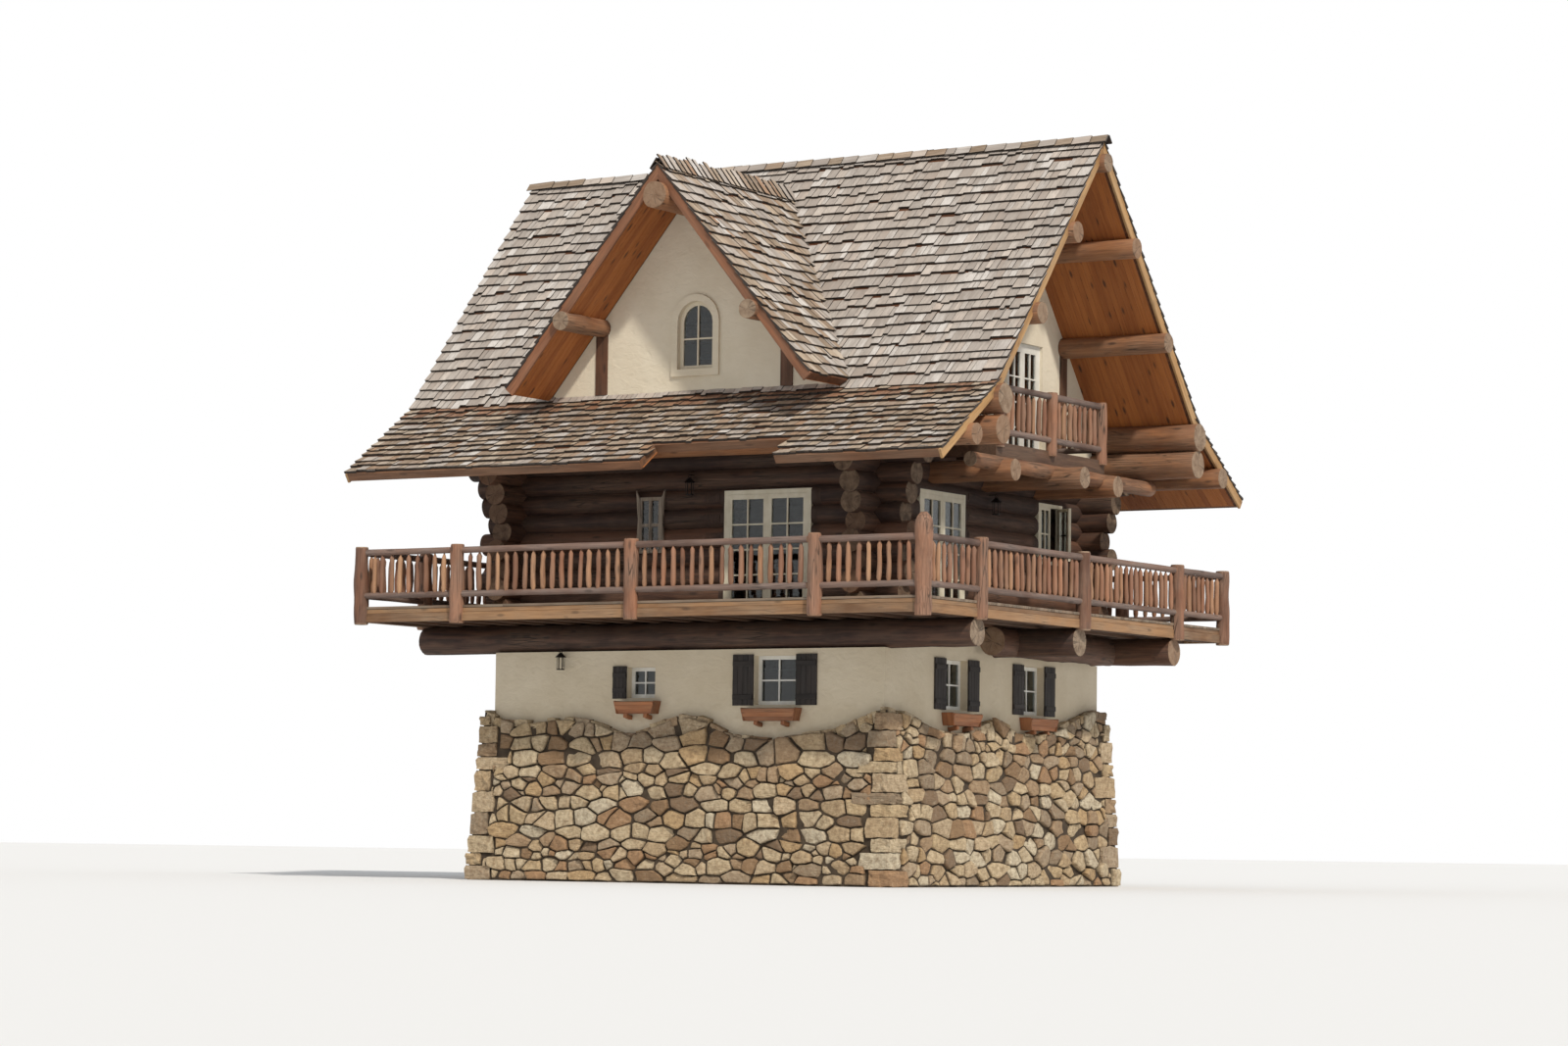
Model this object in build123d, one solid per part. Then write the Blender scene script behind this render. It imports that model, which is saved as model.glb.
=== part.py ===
from build123d import *
from math import asin, atan2, cos, degrees, pi, sin, tan
import os

# Alpine chalet: stone plinth, stuccoed lower storey, log storey inside an all-round deck,
# and a steep bell-cast shake roof with a front dormer and a balcony in the right gable.
# Millimetres. X runs right along the ridge, Y runs to the back, Z is up.
# The origin is the centre of the plinth's underside.

os.makedirs("parts", exist_ok=True)

# Clearances
fit = 0.3
leaf_gap = 3.0

# Stone plinth and the rubble facing that climbs round the stucco
plinth_top_z = 1950.0
facing_crest_z = 3400.0
facing_proud = 110.0
batter = 215.0

# Lower storey
stucco_half_x = 4175.0
stucco_half_y = 4050.0
stucco_thickness = 300.0
lower_floor_thickness = 150.0

# Deck and the logs that carry it
deck_half_x = 5975.0
deck_half_y = 5840.0
deck_top_z = 4990.0
plank_thickness = 50.0
joist_depth = 240.0
joist_width = 90.0
joist_spacing = 640.0
rim_thickness = 50.0
sill_log_radius = 265.0
sill_log_drop = 250.0
sill_log_short = 45.0
outrigger_radius = 265.0
outrigger_gap = 110.0
outrigger_front_end = 800.0

# Railings of peeled poles
post_radius = 125.0
post_height = 1110.0
post_tail = 40.0
corner_post_radius = 155.0
corner_post_height = 1420.0
post_tip = 20.0
corner_post_tip = 240.0
post_sides = 12
rail_width = 84.0
rail_height = 104.0
low_rail_rise = 200.0
top_rail_rise = 1000.0
baluster_width = 80.0
baluster_tip = 50.0
baluster_pitch = 210.0

# Log storey
wall_x = 3800.0
wall_y = 3840.0
log_radius = 210.0
course = 353.0
course_count = 8
log_tail = 640.0
tail_stagger = 150.0
corbel_step = 230.0
facets_a_side = 4
log_sides = 16

# Upper floor, plates and gables
upper_floor_thickness = 136.0
plate_radius = 265.0
plate_spacing = 520.0
gable_face_x = 4200.0
gable_thickness = 250.0

# Roof
ridge_z = 13690.0
kink_run = 4000.0
kink_z = 8840.0
eave_run = 5970.0
eave_z = 7490.0
verge_x = 6350.0
roof_depth = 200.0
shake_depth = 50.0
barge_setback = 20.0
barge_thickness = 50.0
barge_depth = 230.0
fascia_thickness = 45.0
notch_from_x = 200.0
notch_to_x = 3000.0
notch_run = 5480.0
cap_width = 170.0
cap_thickness = 25.0

# Purlins and plates: how deep each is bevelled under the boards
purlin_runs = (1170.0, 2500.0)
purlin_radius = 195.0
purlin_bury = 75.0
ridge_log_radius = 175.0
ridge_log_bury = 60.0
eave_purlin_run = 4850.0
eave_purlin_radius = 195.0
eave_purlin_bury = 20.0
plate_bury = 128.0
purlin_proud = 100.0

# Dormer
dormer_ridge_z = 13000.0
dormer_overhang = 1300.0
dormer_foot_x = 3300.0
dormer_wall_y = 3900.0
dormer_wall_thickness = 250.0
dormer_wall_base_z = 8700.0
dormer_ridge_log_radius = 250.0
dormer_ridge_log_bury = 25.0
dormer_purlin_x = 2000.0
dormer_purlin_radius = 175.0
dormer_purlin_bury = 110.0
dormer_log_proud = 100.0

# Timber posts set in the dormer and gable walls
wall_post_width = 250.0
wall_post_depth = 150.0
wall_post_proud = 30.0

# Balcony
balcony_reach = 1100.0
balcony_half_y = 2000.0
balcony_plank = 50.0
balcony_joist_depth = 200.0
balcony_joist_width = 100.0
balcony_joist_count = 9
balcony_rim = 30.0
balcony_post_radius = 105.0
balcony_post_height = 1080.0
balcony_beam_radius = 140.0
balcony_beam_front_y = 3050.0
balcony_beam_back_y = 4000.0
cantilever_radius = 200.0
cantilever_proud = 700.0
cantilever_tail = 350.0
beam_notch = 30.0

# Joinery
frame_width = 70.0
frame_depth = 110.0
muntin = 28.0
glass_thickness = 8.0
window_setback = 140.0
door_casing = 80.0
door_stile = 85.0
casing_proud = 20.0
gable_setback = 60.0
casement_opening_angle = 57.0
shutter_thickness = 40.0
shutter_gap = 10.0
pane_count_across = 2
pane_count_up = 2
door_pane_count_up = 4

# Flower boxes
box_depth = 260.0
box_height = 230.0
box_drop = 60.0
box_wall = 25.0
box_flare = 55.0
bracket_width = 80.0
bracket_drop = 60.0
box_overhang = 130.0

# Arched dormer window
arch_x = 50.0
arch_sill_z = 9320.0
arch_width = 760.0
arch_height = 1240.0
arch_facets = 10
surround_width = 130.0
surround_proud = 45.0

# Lanterns
lantern_width = 150.0
lantern_height = 280.0
lantern_reach = 240.0
lantern_cap = 60.0
lantern_arm = 40.0

# Walls turned about Z from the front one
turn = {"front": 0, "right": 90, "back": 180, "left": 270}

# Windows and doors: wall, centre along the wall, sill above its floor, width, height
lower_windows = [
    ("front", 1925.0, 1100.0, 870.0, 880.0),
    ("front", -930.0, 1240.0, 600.0, 560.0),
    ("right", -1465.0, 1080.0, 810.0, 900.0),
    ("right", 1475.0, 1080.0, 810.0, 900.0),
    ("back", -1475.0, 1080.0, 810.0, 900.0),
    ("back", 1475.0, 1080.0, 810.0, 900.0),
    ("left", -1475.0, 1080.0, 810.0, 900.0),
    ("left", 1475.0, 1080.0, 810.0, 900.0),
]
one_shutter_width = 700.0
deck_windows = [
    ("right", 2450.0, 1060.0, 960.0, 1150.0),
    ("left", 0.0, 1060.0, 960.0, 1150.0),
    ("back", 0.0, 1060.0, 960.0, 1150.0),
]
slab_window = ("front", -770.0, 980.0, 620.0, 1150.0)
slab_side = 130.0
slab_ear = 130.0
deck_doors = [
    ("front", 1705.0, 0.0, 1830.0, 2070.0),
    ("right", -1690.0, 0.0, 1680.0, 2130.0),
]
gable_doors = [("right", 1010.0, 0.0, 1360.0, 2150.0)]
gable_windows = [("left", 0.0, 1050.0, 1100.0, 1100.0)]
lantern_places = [("front", 140.0, 6.5), ("right", 20.0, 6.0)]
lower_lantern = ("front", -2620.0, 2050.0)

# Levels and angles that follow
plinth_foot_x = stucco_half_x + facing_proud + batter
plinth_foot_y = stucco_half_y + facing_proud + batter
batter_angle = degrees(atan2(batter, facing_crest_z))
lower_floor_z = plinth_top_z + lower_floor_thickness
joist_top_z = deck_top_z - plank_thickness
deck_under_z = joist_top_z - joist_depth
sill_log_z = deck_under_z - sill_log_drop
stucco_top_z = sill_log_z - sill_log_drop
outrigger_x = stucco_half_x + outrigger_gap + outrigger_radius
low_rail_z = deck_top_z + low_rail_rise
top_rail_z = deck_top_z + top_rail_rise
log_wall_top_z = deck_top_z + course_count * course
upper_floor_z = log_wall_top_z + upper_floor_thickness
steep = atan2(ridge_z - kink_z, kink_run)
flare = atan2(kink_z - eave_z, eave_run - kink_run)
barge_face_x = verge_x - barge_setback
deck_end_x = barge_face_x - barge_thickness
purlin_end_x = verge_x + purlin_proud
dormer_front_y = dormer_wall_y + dormer_overhang
balcony_edge_x = gable_face_x + balcony_reach
balcony_beam_z = upper_floor_z - balcony_plank - balcony_joist_depth - balcony_beam_radius
cantilever_z = balcony_beam_z - balcony_beam_radius - cantilever_radius + beam_notch + 195
beyond = 2 * verge_x


# Plain solids
def block(x0, x1, y0, y1, z0, z1):
    box = Box(x1 - x0, y1 - y0, z1 - z0)
    return Pos((x0 + x1) / 2, (y0 + y1) / 2, (z0 + z1) / 2) * box


def along_x(points, x0, x1):
    face = Plane.YZ.offset(x0) * Polygon(*points, align=None)
    return extrude(face, amount=x1 - x0, dir=(1, 0, 0))


def along_y(points, y0, y1):
    face = Plane.XZ.offset(-y0) * Polygon(*points, align=None)
    return extrude(face, amount=y1 - y0, dir=(0, 1, 0))


def along_z(points, z0, z1):
    face = Plane.XY.offset(z0) * Polygon(*points, align=None)
    return extrude(face, amount=z1 - z0, dir=(0, 0, 1))


# A peeled log is a bar with many flats; its radius is measured to the flats
def round_outline(radius, sides, x=0.0, y=0.0):
    corner = radius / cos(pi / sides)
    points = []
    for index in range(sides):
        angle = (index + 0.5) * 2 * pi / sides
        points.append((x + corner * cos(angle), y + corner * sin(angle)))
    return points


def log_along_x(x0, x1, y, z, radius):
    return along_x(round_outline(radius, log_sides, y, z), x0, x1)


def log_along_y(y0, y1, x, z, radius):
    return along_y(round_outline(radius, log_sides, x, z), y0, y1)


def write(name, pieces):
    solids = []
    for piece in pieces:
        solids.extend(piece.solids())
    export_step(Compound(children=solids), "parts/" + name + ".step")


def on_wall(wall, along, face, z):
    return Rot(0, 0, turn[wall]) * Pos(along, -face, z)


def wall_face(wall, half_x, half_y):
    return half_y if wall in ("front", "back") else half_x


# A point on the flare: out along the slope from a run, and down square to it
def flare_point(run, out, depth):
    across = run + out * cos(flare) - depth * sin(flare)
    return across, roof_height(run, 0) - out * sin(flare) - depth * cos(flare)


# Roof form: each layer is a bent line at a depth square to the shakes
def roof_layer(depth, short=0.0):
    steep_in = (-sin(steep), -cos(steep))
    flare_in = (-sin(flare), -cos(flare))
    mitre = depth / (1 + steep_in[0] * flare_in[0] + steep_in[1] * flare_in[1])
    kink = (
        kink_run + mitre * (steep_in[0] + flare_in[0]),
        kink_z + mitre * (steep_in[1] + flare_in[1]),
    )
    return [(0, ridge_z - depth / cos(steep)), kink, flare_point(eave_run, -short, depth)]


def roof_height(run, depth):
    if run < kink_run:
        return ridge_z - run * tan(steep) - depth / cos(steep)
    return kink_z - (run - kink_run) * tan(flare) - depth / cos(flare)


def roof_slab(top_depth, low_depth, side, x0, x1, short=0.0):
    outline = roof_layer(top_depth, short) + roof_layer(low_depth, short)[::-1]
    return along_x([(side * run, z) for run, z in outline], x0, x1)


def above_roof(depth, side, x0, x1):
    outline = roof_layer(depth) + [(eave_run, ridge_z), (0, ridge_z + roof_depth)]
    return along_x([(side * run, z) for run, z in outline], x0, x1)


def below_roof(side, x0, x1):
    outline = roof_layer(0) + [(eave_run, deck_top_z), (0, deck_top_z)]
    return along_x([(side * run, z) for run, z in outline], x0, x1)


def dormer_height(x, depth):
    return dormer_ridge_z - abs(x) * tan(steep) - depth / cos(steep)


def dormer_slab(top_depth, low_depth, side, y0, y1):
    foot_z = dormer_height(dormer_foot_x, 0)
    outline = [
        (0, dormer_height(0, top_depth)),
        (dormer_foot_x - top_depth * sin(steep), foot_z - top_depth * cos(steep)),
        (dormer_foot_x - low_depth * sin(steep), foot_z - low_depth * cos(steep)),
        (0, dormer_height(0, low_depth)),
    ]
    return along_y([(side * x, z) for x, z in outline], y0, y1)


# The attic opens into the dormer where the dormer's boards meet the main shakes
def dormer_opening():
    setback = (ridge_z - dormer_height(0, roof_depth)) / tan(steep)
    half_width = dormer_wall_y - setback
    outline = [(0, -setback), (half_width, -dormer_wall_y), (-half_width, -dormer_wall_y)]
    return along_z(outline, deck_top_z, ridge_z)


# Log heights follow from the roof that they carry
def purlin_height(run, radius, bury):
    slope = steep if run < kink_run else flare
    return roof_height(run, roof_depth) - (radius - bury) / cos(slope)


def dormer_log_height(x, radius, bury):
    return dormer_height(x, roof_depth) - (radius - bury) / cos(steep)


ridge_log_z = purlin_height(0, ridge_log_radius, ridge_log_bury)
plate_top_z = purlin_height(wall_y, plate_radius, plate_bury)
plate_low_z = plate_top_z - plate_spacing
eave_purlin_z = purlin_height(eave_purlin_run, eave_purlin_radius, eave_purlin_bury)
dormer_ridge_log_z = dormer_log_height(0, dormer_ridge_log_radius, dormer_ridge_log_bury)
dormer_purlin_z = dormer_log_height(dormer_purlin_x, dormer_purlin_radius, dormer_purlin_bury)


# Stone plinth: one battered mass up to the lower floor
def battered_mass(height):
    foot = Rectangle(2 * plinth_foot_x, 2 * plinth_foot_y)
    return extrude(foot, amount=height, taper=batter_angle)


def make_stone_plinth():
    return battered_mass(plinth_top_z)


# Rubble facing: its crest rises and falls, as (along the wall, height) from its left end
crest_front = [
    (-4500, 3080), (-3900, 2900), (-3260, 2880), (-2710, 2930), (-1950, 2870), (-1090, 2620),
    (-660, 2740), (-30, 2940), (490, 2880), (1120, 2620), (1840, 2560), (2450, 2610),
    (3260, 2680), (3860, 2900), (4500, 3150),
]
crest_right = [
    (-4500, 3150), (-3290, 2930), (-2590, 2760), (-1690, 2680), (-790, 2830), (-230, 2990),
    (330, 2860), (900, 2750), (1860, 2790), (2850, 3070), (3650, 3280), (4500, 3300),
]


def mirrored(points):
    return [(-along, z) for along, z in points[::-1]]


def make_stone_facing():
    ring = battered_mass(facing_crest_z) - block(-beyond, beyond, -beyond, beyond, -1, plinth_top_z)
    ring -= block(
        -stucco_half_x - fit, stucco_half_x + fit, -stucco_half_y - fit, stucco_half_y + fit,
        plinth_top_z, facing_crest_z,
    )
    crests = {
        "front": crest_front,
        "right": crest_right,
        "back": mirrored(crest_front),
        "left": mirrored(crest_right),
    }
    sides = []
    for wall, points in crests.items():
        deep = wall_face(wall, stucco_half_x, stucco_half_y)
        across = wall_face(wall, stucco_half_y, stucco_half_x)
        reach = facing_proud + batter
        mitre = along_z(
            [
                (-across + leaf_gap, -deep), (across - leaf_gap, -deep),
                (across + reach - leaf_gap, -deep - reach), (-across - reach + leaf_gap, -deep - reach),
            ],
            plinth_top_z, facing_crest_z,
        )
        above = points + [(points[-1][0], facing_crest_z), (points[0][0], facing_crest_z)]
        air = along_y(above, -deep - reach, -deep)
        spin = Rot(0, 0, turn[wall])
        sides.append(ring & (spin * (mitre - air)))
    return sides


# Lower storey
def opening(wall, along, face, sill, width, height):
    hole = block(-width / 2 - fit, width / 2 + fit, -wall_x / 4, wall_x / 4, -fit, height + fit)
    return on_wall(wall, along, face, sill) * hole


def ring_frame(width, height, border, depth):
    outer = block(-width / 2, width / 2, 0, depth, 0, height)
    inner = block(-width / 2 + border, width / 2 - border, 0, depth, border, height - border)
    return outer - inner


def sash(width, height, border, count_up):
    clear_width = width - 2 * border
    clear_height = height - 2 * border
    depth = frame_depth / 4
    bars = []
    for index in range(1, pane_count_across):
        x = -clear_width / 2 + index * clear_width / pane_count_across
        bars.append(block(x - muntin / 2, x + muntin / 2, 0, depth, border, height - border))
    for index in range(1, count_up):
        z = border + index * clear_height / count_up
        bars.append(block(-clear_width / 2, clear_width / 2, 0, depth, z - muntin / 2, z + muntin / 2))
    return ring_frame(width, height, border, frame_depth / 2) + bars


def pane(width, height, border):
    front = frame_depth / 4 + fit
    half = width / 2 - border - fit
    return block(-half, half, front, front + glass_thickness, border + fit, height - border - fit)


def french_door(width, height):
    clear = width / 2 - door_casing
    casing = block(-width / 2, width / 2, 0, frame_depth, 0, height)
    casing -= block(-clear, clear, 0, frame_depth, 0, height - door_casing)
    leaf_width = clear - leaf_gap / 2 - fit
    leaf_height = height - door_casing - 2 * leaf_gap
    leaves = []
    glass = []
    for side in (-1, 1):
        place = Pos(side * (leaf_width + leaf_gap) / 2, 0, leaf_gap)
        leaves.append(place * sash(leaf_width, leaf_height, door_stile, door_pane_count_up))
        glass.append(place * pane(leaf_width, leaf_height, door_stile))
    return [casing] + leaves, glass


def casement(width, height, opening_angle):
    clear = width / 2 - frame_width
    casing = ring_frame(width, height, frame_width, frame_depth)
    leaf_width = clear - leaf_gap / 2 - fit
    leaf_height = height - 2 * frame_width - 2 * leaf_gap
    stile = frame_width * 0.75
    leaf = Pos(-leaf_width / 2, 0, 0) * sash(leaf_width, leaf_height, stile, pane_count_up)
    glass = Pos(-leaf_width / 2, 0, 0) * pane(leaf_width, leaf_height, stile)
    right = Pos(clear - fit, 0, frame_width + leaf_gap) * Rot(0, 0, opening_angle)
    left = Pos(-clear + fit + leaf_width, 0, frame_width + leaf_gap)
    return [casing, left * leaf, right * leaf], [left * glass, right * glass]


def sill_logs(grow):
    logs = []
    end = deck_half_x - sill_log_short
    for y in (-wall_y, 0, wall_y):
        logs.append(log_along_x(-end - grow, end + grow, y, sill_log_z, sill_log_radius + grow))
    return logs


def make_stucco_wall(wall):
    x = stucco_half_x
    y = stucco_half_y
    t = stucco_thickness
    if wall in ("front", "back"):
        solid = Rot(0, 0, turn[wall]) * block(-x, x, -y, -y + t, plinth_top_z, stucco_top_z)
    else:
        solid = block(-y + t + fit, y - t - fit, -x, -x + t, plinth_top_z, deck_under_z)
        solid = Rot(0, 0, turn[wall]) * solid - sill_logs(fit)
    for name, along, rise, width, height in lower_windows:
        if name == wall:
            face = wall_face(wall, x, y)
            solid -= opening(wall, along, face, lower_floor_z + rise, width, height)
    return solid


def make_lower_windows():
    frames = []
    panes = []
    for wall, along, rise, width, height in lower_windows:
        face = wall_face(wall, stucco_half_x, stucco_half_y) - window_setback
        place = on_wall(wall, along, face, lower_floor_z + rise)
        frames.append(place * sash(width, height, frame_width, pane_count_up))
        panes.append(place * pane(width, height, frame_width))
    return frames, panes


def make_shutters():
    leaves = []
    for wall, along, rise, width, height in lower_windows:
        face = wall_face(wall, stucco_half_x, stucco_half_y)
        half = width / 4
        sides = (-1,) if width < one_shutter_width else (-1, 1)
        for side in sides:
            centre = along + side * (width / 2 + half + shutter_gap)
            leaf = block(-half, half, -shutter_thickness - fit, -fit, 0, height)
            leaves.append(on_wall(wall, centre, face, lower_floor_z + rise) * leaf)
    return leaves


def flower_box(width):
    half = width / 2 + box_overhang
    low = -box_drop - box_height
    slope = box_depth / 4
    outline = [(-fit, -box_drop), (-box_depth, -box_drop), (-box_depth + slope, low), (-fit, low)]
    foot = half - box_flare
    box = along_x(outline, -half, half)
    box &= along_y([(-half, -box_drop), (half, -box_drop), (foot, low), (-foot, low)], -box_depth, 0)
    box -= block(
        -foot + box_wall, foot - box_wall, -box_depth + slope + box_wall, -box_wall,
        low + box_wall, -box_drop,
    )
    for x in (-half / 2, half / 2):
        box += block(
            x - bracket_width / 2, x + bracket_width / 2, -box_depth + 2 * slope, -fit,
            low - bracket_drop, low,
        )
    return box


def make_flower_boxes():
    boxes = []
    for wall, along, rise, width, height in lower_windows:
        if wall in ("front", "right"):
            face = wall_face(wall, stucco_half_x, stucco_half_y)
            boxes.append(on_wall(wall, along, face, lower_floor_z + rise) * flower_box(width))
    return boxes


# Deck
def make_deck_logs():
    logs = []
    flats = block(-beyond, beyond, -beyond, beyond, stucco_top_z, deck_under_z)
    for log in sill_logs(0):
        logs.append(log & flats)
    joint = sill_log_radius + fit
    for side in (-1, 1):
        for y0, y1 in ((-outrigger_front_end, -joint), (joint, wall_y - joint)):
            log = log_along_y(y0, y1, side * outrigger_x, sill_log_z, outrigger_radius)
            logs.append(log & flats)
    return logs


def make_joists():
    reach = deck_half_y - rim_thickness - fit
    count = int((2 * deck_half_x - 2 * rim_thickness - joist_width) / joist_spacing)
    half = joist_width / 2
    joists = []
    for index in range(count + 1):
        x = (index - count / 2) * joist_spacing
        joists.append(block(x - half, x + half, -reach, reach, deck_under_z, joist_top_z))
    return joists


def make_rim():
    x = deck_half_x
    y = deck_half_y
    t = rim_thickness
    outer = block(-x, x, -y, y, deck_under_z, joist_top_z)
    return outer - block(-x + t, x - t, -y + t, y - t, deck_under_z, joist_top_z)


def make_deck_planks():
    outer = block(-deck_half_x, deck_half_x, -deck_half_y, deck_half_y, joist_top_z, deck_top_z)
    x = wall_x + fit
    y = wall_y + fit
    return outer - block(-x, x, -y, y, joist_top_z, deck_top_z)


def make_main_floor():
    return block(-wall_x, wall_x, -wall_y, wall_y, joist_top_z, deck_top_z)


def peeled_post(radius, z0, z1):
    outline = round_outline(radius, post_sides)
    tip = Plane.XY.offset(z1 - post_tip) * Polygon(*outline, align=None)
    return along_z(outline, z0, z1 - post_tip) + extrude(tip, amount=post_tip, taper=45)


# The post at the front right corner is thicker and taller, and its top is cut round
def domed_post(radius, z0, z1):
    outline = round_outline(radius, post_sides)
    half = corner_post_tip / 2
    shoulder = Plane.XY.offset(z1 - corner_post_tip) * Polygon(*outline, align=None)
    collar = extrude(shoulder, amount=half, taper=14)
    dome = extrude(collar.faces().sort_by(Axis.Z)[-1], amount=half, taper=38)
    return along_z(outline, z0, z1 - corner_post_tip) + collar + dome


def is_tall_corner(x, y):
    return x == deck_half_x and y == -deck_half_y


def post_lines():
    columns = (-deck_half_x, -wall_x, 0, wall_x, deck_half_x)
    rows = (-deck_half_y, -wall_y, 0, wall_y, deck_half_y)
    return columns, rows


# Each post is halved over the rim: it hangs down outside and stands on the planks inside
def make_deck_posts():
    columns, rows = post_lines()
    platform = block(
        -deck_half_x - fit, deck_half_x + fit, -deck_half_y - fit, deck_half_y + fit,
        0, deck_top_z,
    )
    posts = []
    for x in columns:
        for y in rows:
            at_end = abs(x) == deck_half_x
            at_side = abs(y) == deck_half_y
            if not (at_end or at_side):
                continue
            if is_tall_corner(x, y):
                top = deck_top_z + corner_post_height
                post = domed_post(corner_post_radius, deck_under_z - post_tail, top)
            else:
                top = deck_top_z + post_height
                post = peeled_post(post_radius, deck_under_z - post_tail, top)
            posts.append(Pos(x, y, 0) * post - platform)
    return posts


def baluster(x, y, z0, z1):
    half = baluster_width / 2
    shaft = block(x - half, x + half, y - half, y + half, z0, z1 - baluster_tip)
    tip = Pos(x, y, z1 - baluster_tip) * Rectangle(baluster_width, baluster_width)
    return shaft + extrude(tip, amount=baluster_tip, taper=25)


# The balusters stand in the lower rail and their points meet the upper one
def railing_bay(start, end, y, low_z, top_z):
    half_w = rail_width / 2
    half_h = rail_height / 2
    low = block(start, end, y - half_w, y + half_w, low_z - half_h, low_z + half_h)
    top = block(start, end, y - half_w, y + half_w, top_z - half_h, top_z + half_h)
    count = max(1, round((end - start) / baluster_pitch) - 1)
    step = (end - start) / (count + 1)
    bars = []
    for index in range(count):
        x = start + (index + 1) * step
        bars.append(baluster(x, y, low_z + half_h, top_z - half_h - fit))
    return [low + bars, top]


def make_railing(side):
    columns, rows = post_lines()
    stops = columns if side in ("front", "back") else rows
    line = wall_face(side, deck_half_x, deck_half_y)
    radii = [post_radius] * len(stops)
    if side == "front":
        radii[-1] = corner_post_radius
    if side == "right":
        radii[0] = corner_post_radius
    pieces = []
    for index in range(len(stops) - 1):
        start = stops[index] + radii[index] + fit
        end = stops[index + 1] - radii[index + 1] - fit
        for piece in railing_bay(start, end, -line, low_rail_z, top_rail_z):
            pieces.append(Rot(0, 0, turn[side]) * piece)
    return pieces


# Log storey: scribed logs, flat where they bed on each other, round where they show
def hewn_outline(low, high, grow):
    radius = log_radius + grow
    low_angle = asin(max(-1.0, low / radius))
    high_angle = asin(min(1.0, high / radius))
    right = []
    for index in range(facets_a_side + 1):
        angle = low_angle + (high_angle - low_angle) * index / facets_a_side
        right.append((radius * cos(angle), radius * sin(angle)))
    return right + [(-x, z) for x, z in right[::-1]]


def wall_log_x(x0, x1, y, z, low, high, grow=0.0):
    return along_x([(y + dy, z + dz) for dy, dz in hewn_outline(low, high, grow)], x0, x1)


def wall_log_y(y0, y1, x, z, low, high, grow=0.0):
    return along_y([(x + dx, z + dz) for dx, dz in hewn_outline(low, high, grow)], y0, y1)


def long_courses():
    half = course / 2
    return [(deck_top_z + half + index * course, -half, half - fit) for index in range(course_count)]


def cross_courses():
    half = course / 2
    rows = [(deck_top_z, 0, half - fit)]
    for index in range(1, course_count):
        rows.append((deck_top_z + index * course, -half, half - fit))
    rows.append((deck_top_z + course_count * course, -half, -fit))
    return rows


# Tails stagger course by course, and the top ones step out as corbels
def tail_length(index):
    stagger = tail_stagger * (index % 2)
    corbel = corbel_step * max(0, index - course_count + 3)
    return log_tail + max(stagger, corbel)


def long_tail(index):
    return wall_x + tail_length(index)


def cross_tail(index):
    return wall_y + tail_length(index)


def cut_openings(log, wall, places, low_z, high_z):
    face = wall_face(wall, wall_x, wall_y)
    for name, along, rise, width, height in places:
        sill = deck_top_z + rise
        if name == wall and sill < high_z and sill + height > low_z:
            log -= opening(wall, along, face, sill, width, height)
    return log


def make_long_wall(side):
    wall = "front" if side < 0 else "back"
    logs = []
    for index, (z, low, high) in enumerate(long_courses()):
        tail = long_tail(index)
        log = wall_log_x(-tail, tail, side * wall_y, z, low, high)
        cross_z, cross_low, cross_high = cross_courses()[index]
        reach = cross_tail(index) + log_radius
        for x in (-wall_x, wall_x):
            log -= wall_log_y(-reach, reach, x, cross_z, cross_low - fit, cross_high + fit, fit)
        log = cut_openings(log, wall, deck_doors + deck_windows, z + low, z + high)
        logs.append(log)
    return logs


def cantilever_rows():
    return (-balcony_half_y, 0, balcony_half_y)


def cantilever_rooms():
    start = wall_x - cantilever_tail - fit
    return [log_along_x(start, beyond, y, cantilever_z, cantilever_radius + fit) for y in cantilever_rows()]


def eave_purlins(side, grow):
    end = purlin_end_x + grow
    return log_along_x(-end, end, side * eave_purlin_run, eave_purlin_z, eave_purlin_radius + grow)


def make_cross_wall(side):
    wall = "right" if side > 0 else "left"
    logs = []
    for index, (z, low, high) in enumerate(cross_courses()):
        tail = cross_tail(index)
        log = wall_log_y(-tail, tail, side * wall_x, z, low, high)
        if index > 0:
            long_z, long_low, long_high = long_courses()[index - 1]
            reach = long_tail(index - 1) + log_radius
            for y in (-wall_y, wall_y):
                log -= wall_log_x(-reach, reach, y, long_z, long_low - fit, long_high + fit, fit)
        log = cut_openings(log, wall, deck_doors + deck_windows, z + low, z + high)
        if side > 0 and z + high > cantilever_z - cantilever_radius:
            log -= cantilever_rooms()
        if index >= course_count - 1:
            log -= [eave_purlins(-1, fit), eave_purlins(1, fit)]
            log -= [above_roof(roof_depth, -1, -beyond, beyond), above_roof(roof_depth, 1, -beyond, beyond)]
        logs.append(log)
    return logs


def make_deck_joinery():
    door_pieces = []
    window_pieces = []
    panes = []
    for wall, along, rise, width, height in deck_doors:
        face = wall_face(wall, wall_x, wall_y) + log_radius - casing_proud
        place = on_wall(wall, along, face, deck_top_z + rise)
        pieces, glass = french_door(width, height)
        door_pieces.extend(place * piece for piece in pieces)
        panes.extend(place * sheet for sheet in glass)
    for wall, along, rise, width, height in deck_windows:
        face = wall_face(wall, wall_x, wall_y) + log_radius - casing_proud
        place = on_wall(wall, along, face, deck_top_z + rise)
        pieces, glass = casement(width, height, casement_opening_angle if wall == "right" else 0)
        window_pieces.extend(place * piece for piece in pieces)
        panes.extend(place * sheet for sheet in glass)
    return door_pieces, window_pieces, panes


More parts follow.
